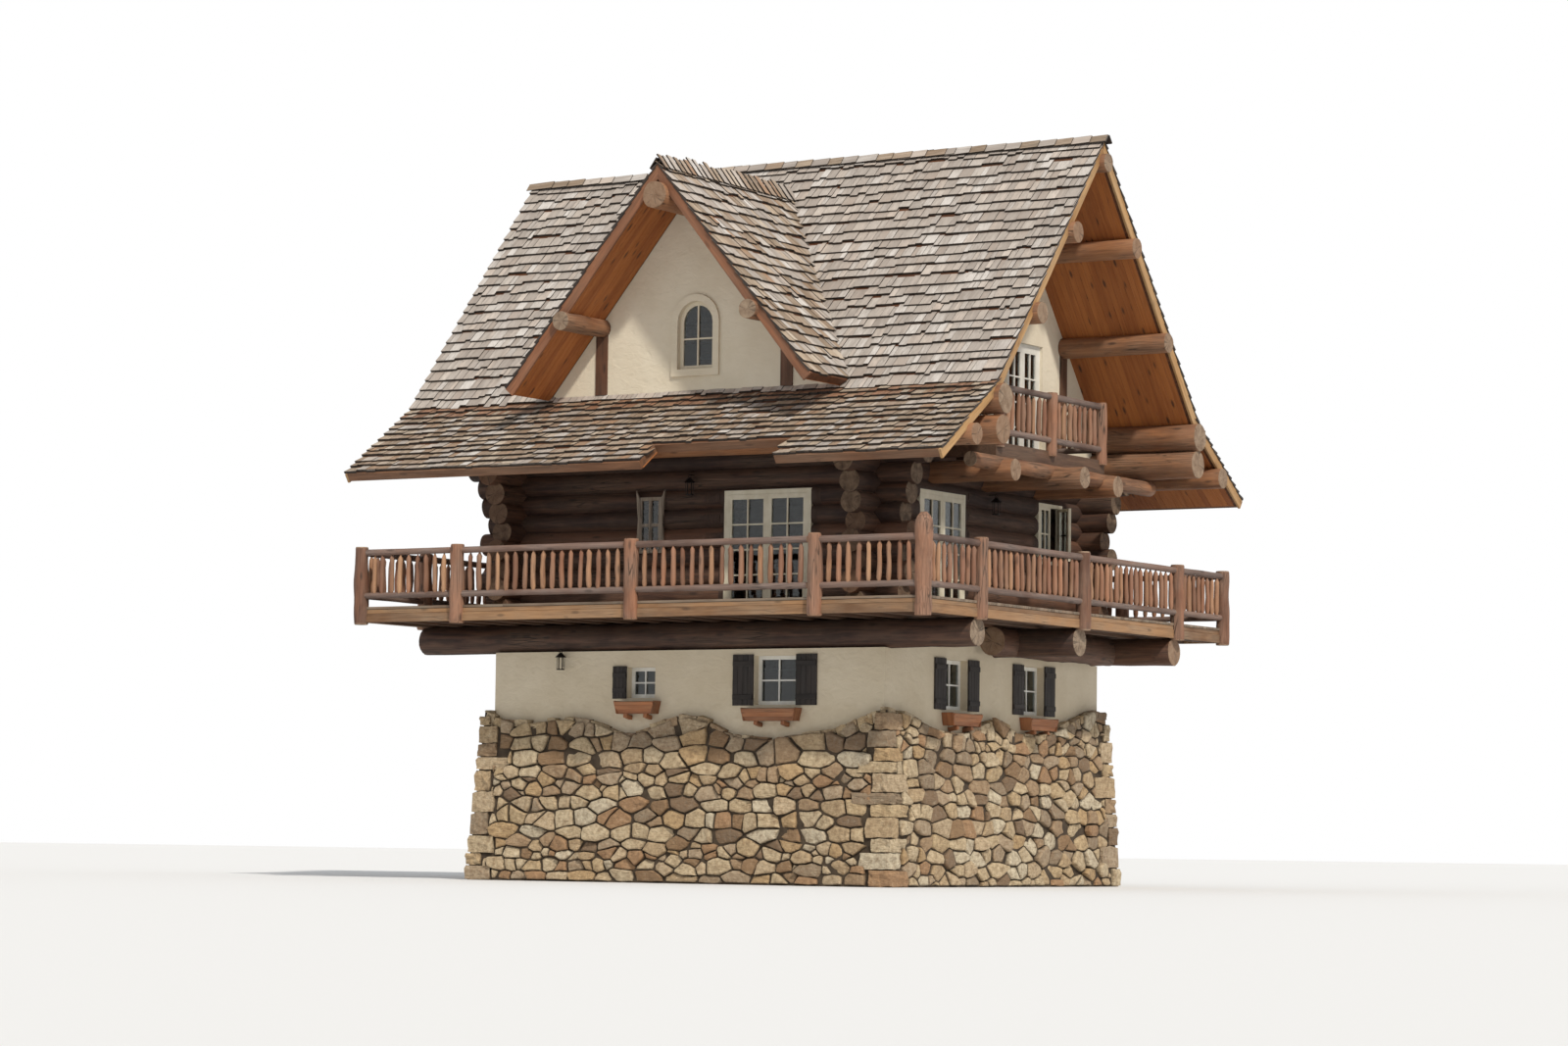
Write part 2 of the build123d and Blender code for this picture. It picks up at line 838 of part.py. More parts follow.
# A four-light window framed in two natural slabs with pointed ears, hung on the log face
def make_slab_window():
    wall, along, rise, width, height = slab_window
    half = width / 2
    low = 0
    outline = [
        (-half, height), (-half + slab_side / 2, height - slab_ear), (half - slab_side / 2, height - slab_ear),
        (half, height), (half - slab_side / 3, height / 2), (half, low), (-half, low),
        (-half + slab_side / 3, height / 2),
    ]
    frame = along_y(outline, -shutter_thickness - fit, -fit)
    clear = half - slab_side
    head = height - slab_ear - slab_side / 2
    foot = slab_side / 2
    frame -= block(-clear, clear, -beyond, beyond, foot, head)
    middle = (foot + head) / 2
    frame += [
        block(-muntin, muntin, -shutter_thickness - fit, -fit, foot, head),
        block(-clear, clear, -shutter_thickness - fit, -fit, middle - muntin, middle + muntin),
    ]
    panes = []
    for x0, x1 in ((-clear, -muntin), (muntin, clear)):
        for z0, z1 in ((foot, middle - muntin), (middle + muntin, head)):
            panes.append(
                block(x0 + fit, x1 - fit, -glass_thickness - fit, -fit, z0 + fit, z1 - fit)
            )
    place = on_wall(wall, along, wall_y + log_radius, deck_top_z + rise)
    return [place * frame], [place * sheet for sheet in panes]


# Plates, purlins and ridge log: bevelled under the boards, full round past the bargeboards
def under_boards(log, side):
    return log - above_roof(roof_depth, side, -deck_end_x, deck_end_x)


def make_plates():
    logs = []
    end = purlin_end_x
    bed_z = plate_low_z + plate_spacing / 2
    low_flats = block(-beyond, beyond, -beyond, beyond, log_wall_top_z + fit, bed_z - fit)
    top_flats = block(-beyond, beyond, -beyond, beyond, bed_z + fit, ridge_z)
    dormer_seat = block(
        -dormer_foot_x, dormer_foot_x, -dormer_wall_y - fit,
        -dormer_wall_y + dormer_wall_thickness + fit, dormer_wall_base_z - fit, ridge_z,
    )
    for side in (-1, 1):
        low = log_along_x(-end, end, side * wall_y, plate_low_z, plate_radius)
        top = log_along_x(-end, end, side * wall_y, plate_top_z, plate_radius)
        top = under_boards(top & top_flats, side)
        if side < 0:
            top -= dormer_seat
        logs.extend([low & low_flats, top])
    return logs


def plate_rooms():
    rooms = []
    for side in (-1, 1):
        for z in (plate_low_z, plate_top_z):
            rooms.append(log_along_x(-beyond, beyond, side * wall_y, z, plate_radius + fit))
    return rooms


def purlin_places():
    places = [(0.0, ridge_log_z, ridge_log_radius)]
    for run in purlin_runs:
        z = purlin_height(run, purlin_radius, purlin_bury)
        places.append((-run, z, purlin_radius))
        places.append((run, z, purlin_radius))
    return places


def make_purlins():
    logs = []
    for y, z, radius in purlin_places():
        log = log_along_x(-purlin_end_x, purlin_end_x, y, z, radius)
        if y <= 0:
            log = under_boards(log, -1)
        if y >= 0:
            log = under_boards(log, 1)
        if y < 0:
            log -= dormer_opening()
        logs.append(log)
    for side in (-1, 1):
        logs.append(under_boards(eave_purlins(side, 0), side))
    return logs


def purlin_rooms():
    return [log_along_x(-beyond, beyond, y, z, radius + fit) for y, z, radius in purlin_places()]


def make_upper_floor():
    y = wall_y - plate_radius - fit
    return block(-gable_face_x, gable_face_x, -y, y, log_wall_top_z, upper_floor_z)


# Gable walls, with a timber post under each lower purlin
def gable_posts(grow):
    run = purlin_runs[-1]
    half = wall_post_width / 2 + grow
    top = purlin_height(run, purlin_radius, purlin_bury)
    posts = []
    for end in (-1, 1):
        for side in (-1, 1):
            inner = gable_face_x - wall_post_depth - grow
            outer = gable_face_x + wall_post_proud + grow
            x0, x1 = sorted((end * inner, end * outer))
            posts.append(block(x0, x1, side * run - half, side * run + half, upper_floor_z, top))
    return posts


def make_gable_wall(side):
    name = "right" if side > 0 else "left"
    reach = wall_y - plate_radius / 2
    brow = roof_height(reach, roof_depth)
    peak = roof_height(0, roof_depth)
    outline = [(-reach, upper_floor_z), (reach, upper_floor_z), (reach, brow), (0, peak), (-reach, brow)]
    wall = along_x(outline, gable_face_x - gable_thickness, gable_face_x)
    wall = Rot(0, 0, 0 if side > 0 else 180) * wall
    wall -= plate_rooms() + purlin_rooms() + gable_posts(fit)
    for wall_name, along, rise, width, height in gable_doors + gable_windows:
        if wall_name == name:
            wall -= opening(name, along, gable_face_x, upper_floor_z + rise, width, height)
    return wall


def make_wall_posts():
    posts = [post - purlin_rooms() for post in gable_posts(0)]
    for side in (-1, 1):
        post = dormer_post(side, 0) - dormer_log_rooms()
        posts.append(post - main_slab_at_dormer())
    return posts


def make_gable_joinery():
    frames = []
    panes = []
    for wall, along, rise, width, height in gable_doors:
        place = on_wall(wall, along, gable_face_x - gable_setback, upper_floor_z + rise)
        pieces, glass = french_door(width, height)
        frames.extend(place * piece for piece in pieces)
        panes.extend(place * sheet for sheet in glass)
    for wall, along, rise, width, height in gable_windows:
        place = on_wall(wall, along, gable_face_x - gable_setback, upper_floor_z + rise)
        frames.append(place * sash(width, height, frame_width, pane_count_up))
        panes.append(place * pane(width, height, frame_width))
    return frames, panes


# Balcony: logs cantilever out of the wall and carry a beam, joists and planks
def make_balcony_logs():
    logs = []
    start = wall_x - cantilever_tail
    for y in cantilever_rows():
        end = balcony_edge_x + (cantilever_proud if y == 0 else cantilever_proud / 2)
        logs.append(log_along_x(start, end, y, cantilever_z, cantilever_radius))
    beam = log_along_y(
        -balcony_beam_front_y, balcony_beam_back_y, balcony_edge_x, balcony_beam_z, balcony_beam_radius
    )
    beam -= cantilever_rooms()
    scarf = 2 * balcony_beam_radius
    for side, end in ((-1, balcony_beam_front_y), (1, balcony_beam_back_y)):
        low = balcony_beam_z - balcony_beam_radius - fit
        outline = [(side * (end + fit), low), (side * (end - scarf), low), (side * (end + fit), low + scarf)]
        beam -= along_x(outline, gable_face_x, beyond)
    return logs + [beam]


def make_balcony_floor():
    x0 = gable_face_x + fit
    half = balcony_half_y + balcony_post_radius
    plank_z = upper_floor_z - balcony_plank
    floor = block(x0, balcony_edge_x, -half, half, plank_z, upper_floor_z)
    joist_z = plank_z - balcony_joist_depth
    rim_x = balcony_edge_x - balcony_rim
    frame = [block(rim_x, balcony_edge_x, -half, half, joist_z, plank_z)]
    room = 2 * half - balcony_joist_width
    for index in range(balcony_joist_count):
        y = -half + index * room / (balcony_joist_count - 1)
        frame.append(block(x0, rim_x, y, y + balcony_joist_width, joist_z, plank_z))
    return floor + frame


def make_balcony_railing():
    low = upper_floor_z + low_rail_rise
    top = upper_floor_z + top_rail_rise
    radius = balcony_post_radius
    platform = block(
        0, balcony_edge_x + fit, -balcony_half_y - radius - fit, balcony_half_y + radius + fit,
        deck_top_z, upper_floor_z,
    )
    pieces = []
    for y in cantilever_rows():
        post = peeled_post(radius, upper_floor_z - 2 * balcony_plank, upper_floor_z + balcony_post_height)
        pieces.append(Pos(balcony_edge_x, y, 0) * post - platform)
    for start, end in ((-balcony_half_y, 0), (0, balcony_half_y)):
        bay = railing_bay(start + radius + fit, end - radius - fit, -balcony_edge_x, low, top)
        pieces.extend(Rot(0, 0, 90) * piece for piece in bay)
    for y in (-balcony_half_y, balcony_half_y):
        pieces.extend(railing_bay(gable_face_x + fit, balcony_edge_x - radius - fit, y, low, top))
    return pieces


# Roof covering, boards and edges; the front eave steps back between two points
def flare_strip(side, run_in, run_out, short, top_depth, low_depth, x0, x1):
    outline = [
        flare_point(run_in, -short, top_depth), flare_point(run_in, -short, low_depth),
        flare_point(run_out, -short, low_depth), flare_point(run_out, -short, top_depth),
    ]
    return along_x([(side * run, z) for run, z in outline], x0, x1)


def make_roof(side, top_depth, low_depth, half_width, edge):
    slab = roof_slab(top_depth, low_depth, side, -half_width, half_width, edge)
    if side < 0:
        notch = flare_strip(
            side, notch_run, eave_run + roof_depth, edge, -fit, roof_depth + fit,
            notch_from_x - edge, notch_to_x + edge,
        )
        slab -= [dormer_opening(), notch]
    return slab


def make_ridge_cap():
    run = cap_width * cos(steep)
    fall = cap_width * sin(steep)
    rise = cap_thickness * cos(steep)
    lift = cap_thickness / cos(steep)
    right = [(0, ridge_z + lift), (run, ridge_z - fall + rise), (run, ridge_z - fall), (0, ridge_z)]
    left = [(-y, z) for y, z in right[::-1]]
    return along_x(right + left[1:-1], -verge_x, verge_x)


def make_bargeboards():
    boards = []
    rooms = purlin_rooms() + plate_rooms() + [eave_purlins(-1, fit), eave_purlins(1, fit)]
    for end in (-1, 1):
        x0, x1 = sorted((end * (deck_end_x + fit), end * barge_face_x))
        for side in (-1, 1):
            boards.append(roof_slab(shake_depth, barge_depth, side, x0, x1) - rooms)
    front = dormer_front_y - barge_setback
    for side in (-1, 1):
        board = dormer_slab(shake_depth, barge_depth, side, -front, -front + barge_thickness - fit)
        boards.append(board - dormer_log_rooms())
    return boards


# Fascias close the eaves under the shakes, and return boards close the sides of the step
def fascia(side, run, x0, x1):
    outline = [
        flare_point(run, -fascia_thickness + fit, shake_depth), flare_point(run, 0, shake_depth),
        flare_point(run, 0, roof_depth), flare_point(run, -fascia_thickness + fit, roof_depth),
    ]
    return along_x([(side * across, z) for across, z in outline], x0, x1)


def make_fascia():
    end = deck_end_x - fit
    boards = [
        fascia(1, eave_run, -end, end),
        fascia(-1, eave_run, -end, notch_from_x),
        fascia(-1, notch_run, notch_from_x + fit, notch_to_x - fit),
        fascia(-1, eave_run, notch_to_x, end),
    ]
    for edge_x, side in ((notch_from_x, -1), (notch_to_x, 1)):
        x0, x1 = sorted((edge_x, edge_x + side * (fascia_thickness - fit)))
        boards.append(
            flare_strip(
                -1, notch_run + fit, eave_run, fascia_thickness, shake_depth, roof_depth, x0, x1
            )
        )
    return boards


# Dormer
def make_dormer_roof(top_depth, low_depth, front):
    slabs = []
    for side in (-1, 1):
        slab = dormer_slab(top_depth, low_depth, side, -front, 0)
        slabs.append(slab - below_roof(-1, -beyond, beyond))
    return slabs


# Each dormer log as x, z, radius and how far back it runs
def dormer_log_places():
    purlin_back = dormer_purlin_x + dormer_wall_y / 3
    return [
        (0, dormer_ridge_log_z, dormer_ridge_log_radius, dormer_wall_y / 3),
        (-dormer_purlin_x, dormer_purlin_z, dormer_purlin_radius, purlin_back),
        (dormer_purlin_x, dormer_purlin_z, dormer_purlin_radius, purlin_back),
    ]


def make_dormer_logs():
    boards_front = dormer_front_y - barge_setback - barge_thickness
    cut = [
        dormer_slab(shake_depth, roof_depth, side, -boards_front, 0) for side in (-1, 1)
    ]
    logs = []
    for x, z, radius, back in dormer_log_places():
        log = log_along_y(-dormer_front_y - dormer_log_proud, -back, x, z, radius)
        log -= cut
        whole = max(log.solids(), key=lambda solid: solid.volume)
        logs.append(whole)
    return logs


def dormer_log_rooms():
    rooms = []
    for x, z, radius, back in dormer_log_places():
        rooms.append(log_along_y(-beyond, -back + fit, x, z, radius + fit))
    return rooms


def main_slab_at_dormer():
    return roof_slab(0, roof_depth, -1, -wall_x, wall_x) - dormer_opening()


def dormer_post(side, grow):
    half = wall_post_width / 2 + grow
    back = dormer_wall_y - wall_post_depth
    return block(
        side * dormer_purlin_x - half, side * dormer_purlin_x + half,
        -dormer_wall_y - wall_post_proud - grow, -back + grow,
        roof_height(back, roof_depth) - grow, dormer_purlin_z,
    )


def arch(width, height, y0, y1):
    radius = width / 2
    outline = [(-radius, 0), (radius, 0)]
    for index in range(arch_facets + 1):
        angle = pi * index / arch_facets
        outline.append((radius * cos(angle), height - radius + radius * sin(angle)))
    return Pos(arch_x, 0, arch_sill_z) * along_y(outline, y0, y1)


def make_dormer_wall():
    peak = dormer_height(0, roof_depth)
    half_width = (peak - dormer_wall_base_z) / tan(steep)
    outline = [(-half_width, dormer_wall_base_z), (half_width, dormer_wall_base_z), (0, peak)]
    back = -dormer_wall_y + dormer_wall_thickness
    wall = along_y(outline, -dormer_wall_y, back)
    wall -= [main_slab_at_dormer()] + dormer_log_rooms()
    wall -= [dormer_post(-1, fit), dormer_post(1, fit)]
    return wall - arch(arch_width + 2 * fit, arch_height + fit, -dormer_front_y, back + fit)


def make_dormer_window():
    y = -dormer_wall_y
    front = y + gable_setback
    clear_width = arch_width - 2 * frame_width
    clear_height = arch_height - 2 * frame_width
    frame = arch(arch_width, arch_height, front, front + frame_width)
    frame -= Pos(0, 0, frame_width) * arch(clear_width, clear_height, y, front + frame_width)
    bar_depth = frame_depth / 4
    cross_z = arch_sill_z + arch_height * 0.45
    frame += [
        block(
            arch_x - muntin / 2, arch_x + muntin / 2, front, front + bar_depth,
            arch_sill_z + frame_width / 2, arch_sill_z + arch_height - frame_width / 2,
        ),
        block(
            arch_x - clear_width / 2, arch_x + clear_width / 2, front, front + bar_depth,
            cross_z - muntin / 2, cross_z + muntin / 2,
        ),
    ]
    full_width = arch_width + 2 * surround_width
    surround = arch(full_width, arch_height + surround_width, y - surround_proud, y - fit)
    surround -= arch(arch_width, arch_height, -dormer_front_y, y)
    apron = block(
        arch_x - full_width / 2, arch_x + full_width / 2, y - surround_proud, y - fit,
        arch_sill_z - surround_width, arch_sill_z,
    )
    glass_front = front + bar_depth + fit
    glass = Pos(0, 0, frame_width + fit) * arch(
        clear_width - 2 * fit, clear_height - 2 * fit, glass_front, glass_front + glass_thickness
    )
    return [frame, surround + apron], [glass]


# Wall lanterns hang from a short arm on the middle of a log, or on the stucco
def lantern():
    half = lantern_width / 2
    back = lantern_reach - lantern_width
    body = block(-half, half, -lantern_reach, -back, -lantern_height, 0)
    cap = Pos(0, -back - half, 0) * Rectangle(1.4 * lantern_width, 1.4 * lantern_width)
    body += extrude(cap, amount=lantern_cap, taper=45)
    return body + block(-lantern_arm / 2, lantern_arm / 2, -back - half, -fit, -lantern_arm, 0)


def make_lanterns():
    lamps = []
    for wall, along, courses in lantern_places:
        face = wall_face(wall, wall_x, wall_y) + log_radius
        arm_z = deck_top_z + courses * course + lantern_arm / 2
        lamps.append(on_wall(wall, along, face, arm_z) * lantern())
    wall, along, rise = lower_lantern
    lamps.append(on_wall(wall, along, stucco_half_y, lower_floor_z + rise) * lantern())
    return lamps


def make_lower_floor():
    x = stucco_half_x - stucco_thickness - fit
    y = stucco_half_y - stucco_thickness - fit
    return block(-x, x, -y, y, plinth_top_z, lower_floor_z)


def main():
    write("stone_plinth", [make_stone_plinth()])
    write("stone_facing", make_stone_facing())
    write("lower_floor", [make_lower_floor()])
    for wall in turn:
        write("stucco_wall_" + wall, [make_stucco_wall(wall)])
        write("railing_" + wall, make_railing(wall))
    lower_frames, lower_panes = make_lower_windows()
    write("lower_windows", lower_frames)
    write("shutters", make_shutters())
    write("flower_boxes", make_flower_boxes())
    write("deck_logs", make_deck_logs())
    write("deck_joists", make_joists())
    write("deck_rim", [make_rim()])
    write("deck_planks", [make_deck_planks()])
    write("deck_posts", make_deck_posts())
    write("main_floor", [make_main_floor()])
    write("log_wall_front", make_long_wall(-1))
    write("log_wall_back", make_long_wall(1))
    write("log_wall_right", make_cross_wall(1))
    write("log_wall_left", make_cross_wall(-1))
    door_pieces, window_pieces, deck_panes = make_deck_joinery()
    write("deck_doors", door_pieces)
    write("deck_windows", window_pieces)
    slab_pieces, slab_panes = make_slab_window()
    write("slab_window", slab_pieces)
    write("plate_logs", make_plates())
    write("purlins", make_purlins())
    write("upper_floor", [make_upper_floor()])
    write("gable_wall_right", [make_gable_wall(1)])
    write("gable_wall_left", [make_gable_wall(-1)])
    write("wall_posts", make_wall_posts())
    gable_pieces, gable_panes = make_gable_joinery()
    write("gable_joinery", gable_pieces)
    write("balcony_logs", make_balcony_logs())
    write("balcony_floor", [make_balcony_floor()])
    write("balcony_railing", make_balcony_railing())
    edge = fascia_thickness
    write("roof_deck_front", [make_roof(-1, shake_depth, roof_depth, deck_end_x, edge)])
    write("roof_deck_back", [make_roof(1, shake_depth, roof_depth, deck_end_x, edge)])
    write("roof_shakes_front", [make_roof(-1, 0, shake_depth, verge_x, 0)])
    write("roof_shakes_back", [make_roof(1, 0, shake_depth, verge_x, 0)])
    write("ridge_cap", [make_ridge_cap()])
    write("bargeboards", make_bargeboards())
    write("fascia", make_fascia())
    boards_front = dormer_front_y - barge_setback - barge_thickness
    write("dormer_roof_deck", make_dormer_roof(shake_depth, roof_depth, boards_front))
    write("dormer_shakes", make_dormer_roof(0, shake_depth, dormer_front_y))
    write("dormer_wall", [make_dormer_wall()])
    write("dormer_logs", make_dormer_logs())
    arch_pieces, arch_panes = make_dormer_window()
    write("dormer_window", arch_pieces)
    write("window_glass", lower_panes + deck_panes + slab_panes + gable_panes + arch_panes)
    write("lanterns", make_lanterns())


main()
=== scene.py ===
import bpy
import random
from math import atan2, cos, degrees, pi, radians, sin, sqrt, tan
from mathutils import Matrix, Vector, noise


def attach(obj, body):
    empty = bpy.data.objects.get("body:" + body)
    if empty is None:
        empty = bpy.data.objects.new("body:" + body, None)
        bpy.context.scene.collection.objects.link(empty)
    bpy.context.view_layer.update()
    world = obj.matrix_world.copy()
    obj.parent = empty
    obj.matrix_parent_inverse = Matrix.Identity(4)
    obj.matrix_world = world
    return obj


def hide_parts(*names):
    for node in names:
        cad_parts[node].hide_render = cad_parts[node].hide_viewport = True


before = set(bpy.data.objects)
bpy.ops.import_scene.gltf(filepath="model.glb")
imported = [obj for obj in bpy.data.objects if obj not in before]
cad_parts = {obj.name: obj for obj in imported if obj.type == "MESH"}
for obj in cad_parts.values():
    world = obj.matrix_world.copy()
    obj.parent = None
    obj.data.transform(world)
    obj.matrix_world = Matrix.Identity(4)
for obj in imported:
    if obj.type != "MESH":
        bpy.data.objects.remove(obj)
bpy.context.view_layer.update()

# %% [markdown]
# # Alpine chalet
#
# The house stands on a rubble-stone plinth. Above it come a stuccoed storey, a deck on logs that
# runs all the way round, a storey of scribed logs, and a steep roof of split shakes that flattens
# out over the eaves. Walls, floors, doors and window frames are already modelled as solids. This
# lesson dresses them: it lays the stones, shakes, boards, logs and poles one by one, and paints
# every surface with node materials.

# Both sources of chance get a fixed seed. noise_vector would otherwise start from the clock.
rng = random.Random(11)
noise.seed_set(11)

# %% [markdown]
# ## Sizes
#
# All sizes are in metres, the same as in the solids: the origin is the middle of the plinth's
# underside, X runs along the ridge, Y runs to the back and Z is up. The roof is one bent line
# seen from the side, so a single function gives any point of it.

# %% Sizes of the house
PLINTH_X, PLINTH_Y, BATTER = 4.5, 4.375, 0.215 / 3.4
STUCCO_X, STUCCO_Y = 4.175, 4.05
DECK_X, DECK_Y, DECK_Z = 5.975, 5.84, 4.99
WALL_X, WALL_Y, COURSE, LOG_R, GABLE_X = 3.8, 3.84, 0.353, 0.21, 4.2
RIDGE_Z, KINK_RUN, KINK_Z, EAVE_RUN, EAVE_Z, VERGE_X = 13.69, 4.0, 8.84, 5.97, 7.49, 6.35
STEEP = atan2(RIDGE_Z - KINK_Z, KINK_RUN)
FLARE = atan2(KINK_Z - EAVE_Z, EAVE_RUN - KINK_RUN)
BEND = (STEEP + FLARE) / 2
DORMER_Z, DORMER_FRONT, DORMER_FOOT, DORMER_WALL_Y = 13.0, 5.2, 3.3, 3.9
NOTCH_LOW, NOTCH_HIGH, NOTCH_RUN = 0.2, 3.0, 5.48
WALLS = {"front": 0, "right": 90, "back": 180, "left": 270}


def roof_z(run, depth=0.0):
    if run < KINK_RUN:
        return RIDGE_Z - run * tan(STEEP) - depth / cos(STEEP)
    return KINK_Z - (run - KINK_RUN) * tan(FLARE) - depth / cos(FLARE)


def dormer_z(x, depth=0.0):
    return DORMER_Z - abs(x) * tan(STEEP) - depth / cos(STEEP)


def shift(x, y, z):
    return Matrix.Translation((x, y, z))


def turn(angle, axis):
    return Matrix.Rotation(angle, 4, axis)


def turned(wall):
    return turn(radians(WALLS[wall]), "Z")


def half_and_face(wall, size_x, size_y):
    return (size_x, size_y) if wall in ("front", "back") else (size_y, size_x)


print("roof slopes", round(degrees(STEEP), 1), "and", round(degrees(FLARE), 1), "degrees")

# %% [markdown]
# ## Forms and copies
#
# A stone wall or a shake roof is hundreds of pieces that are nearly alike. Each kind is modelled
# once as a form, and then laid out many times into one mesh. Every copy carries two
# values on its points: *grain*, its own coordinates in metres with X along the wood, and *tint*,
# a number from 0 to 1 that makes it lighter or darker than its neighbours. The materials read
# both, so the grain follows every board wherever it lies.

# %% Helpers that model
def select(*pieces):
    if bpy.context.mode != "OBJECT":
        bpy.ops.object.mode_set(mode="OBJECT")
    bpy.ops.object.select_all(action="DESELECT")
    for piece in pieces:
        piece.select_set(True)
    if pieces:
        bpy.context.view_layer.objects.active = pieces[0]


def edit(kind, action):
    bpy.ops.object.mode_set(mode="EDIT")
    bpy.ops.mesh.select_mode(type=kind)
    bpy.ops.mesh.select_all(action=action)


def pick(test, kind="FACE"):
    edit(kind, "DESELECT")
    bpy.ops.object.mode_set(mode="OBJECT")
    mesh = bpy.context.active_object.data
    for part in mesh.polygons if kind == "FACE" else mesh.edges:
        part.select = bool(test(mesh, part))
    bpy.ops.object.mode_set(mode="EDIT")


def lengthwise(mesh, edge):
    first, second = edge.vertices
    return abs(mesh.vertices[first].co.x - mesh.vertices[second].co.x) > 0.5


def slab(z=0.0, width=1.0, thickness=1.0):
    select()
    bpy.ops.mesh.primitive_cube_add(size=1, location=(0.5, 0, z))
    bpy.ops.transform.resize(value=(1, width, thickness))
    bpy.ops.object.transform_apply(location=True, rotation=False, scale=True)
    return bpy.context.active_object.data.vertices


def rod(sides, cuts):
    select()
    bpy.ops.mesh.primitive_cylinder_add(
        vertices=sides, radius=1, depth=1, rotation=(0, pi / 2, 0), location=(0.5, 0, 0))
    bpy.ops.object.transform_apply(location=True, rotation=True, scale=True)
    pick(lengthwise, "EDGE")
    bpy.ops.mesh.subdivide(number_cuts=cuts)


def keep_form():
    select()
    piece = bpy.context.active_object
    mesh = piece.data
    # Extruding can number its new faces differently from run to run, so they are put in order.
    faces = sorted(mesh.polygons, key=lambda face: [round(value, 4) for value in face.center])
    form = {
        "points": [tuple(point.co) for point in mesh.vertices],
        "faces": [tuple(face.vertices) for face in faces],
        "slots": [face.material_index for face in faces],
    }
    bpy.data.objects.remove(piece, do_unlink=True)
    bpy.data.meshes.remove(mesh)
    return form


def joined(name, pieces):
    select(*pieces)
    bpy.ops.object.join()
    pieces[0].name = name
    pieces[0].data.name = name
    return pieces[0]


# %% Helpers that place
def new_piece(name, points, faces, finishes):
    mesh = bpy.data.meshes.new(name)
    mesh.from_pydata(points, [], faces)
    for material in finishes:
        mesh.materials.append(material)
    piece = bpy.data.objects.new(name, mesh)
    bpy.context.collection.objects.link(piece)
    return piece


def finish(piece, smooth=None):
    if smooth:
        select(piece)
        bpy.ops.object.shade_smooth_by_angle(angle=radians(smooth))
    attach(piece, "root")
    print(piece.name, len(piece.data.polygons), "faces")
    return piece


def set_tints(mesh, values):
    mesh.attributes.new("tint", "FLOAT", "POINT").data.foreach_set("value", values)


def lay_out(name, copies, finishes, smooth=None):
    points, faces, slots, grain, tint = [], [], [], [], []
    for form, place, size, shade in copies:
        first = len(points)
        offset = rng.uniform(0, 60)
        for x, y, z in form["points"]:
            local = Vector((x * size[0], y * size[1], z * size[2]))
            points.append(place @ local)
            grain.extend((local.x + offset, local.y, local.z))
            tint.append(shade)
        faces.extend(tuple(first + index for index in face) for face in form["faces"])
        slots.extend(form["slots"])
    piece = new_piece(name, points, faces, finishes)
    mesh = piece.data
    mesh.attributes.new("grain", "FLOAT_VECTOR", "POINT").data.foreach_set("vector", grain)
    set_tints(mesh, tint)
    mesh.polygons.foreach_set("material_index", slots)
    return finish(piece, smooth)


def put(copies, form, place, size, shade=None):
    copies.append((form, place, size, rng.random() if shade is None else shade))


def aim(start, end, up=(0, 0, 1)):
    start, end = Vector(start), Vector(end)
    along = (end - start).normalized()
    side = Vector(up).cross(along)
    if side.length < 0.01:
        side = Vector((0, 1, 0))
    side.normalize()
    place = Matrix((along, side, along.cross(side))).transposed().to_4x4()
    place.translation = start
    return place


def jitter(amount):
    return rng.uniform(-amount, amount)


# %% [markdown]
# ## The shared pattern of wood
#
# Nearly everything above the stucco is wood, so its pattern is a node group that each wood
# material uses with its own colours. Long thin noise makes the fibres, broader noise makes the
# streaks, round cells make the knots, and thin cell borders make the drying cracks. The group
# puts out a colour, a roughness and a height.

# %% Node helpers
def colour(hex_code):
    parts = [int(hex_code[index:index + 2], 16) / 255 for index in (0, 2, 4)]
    linear = [part / 12.92 if part <= 0.04045 else ((part + 0.055) / 1.055) ** 2.4
              for part in parts]
    return (*linear, 1.0)


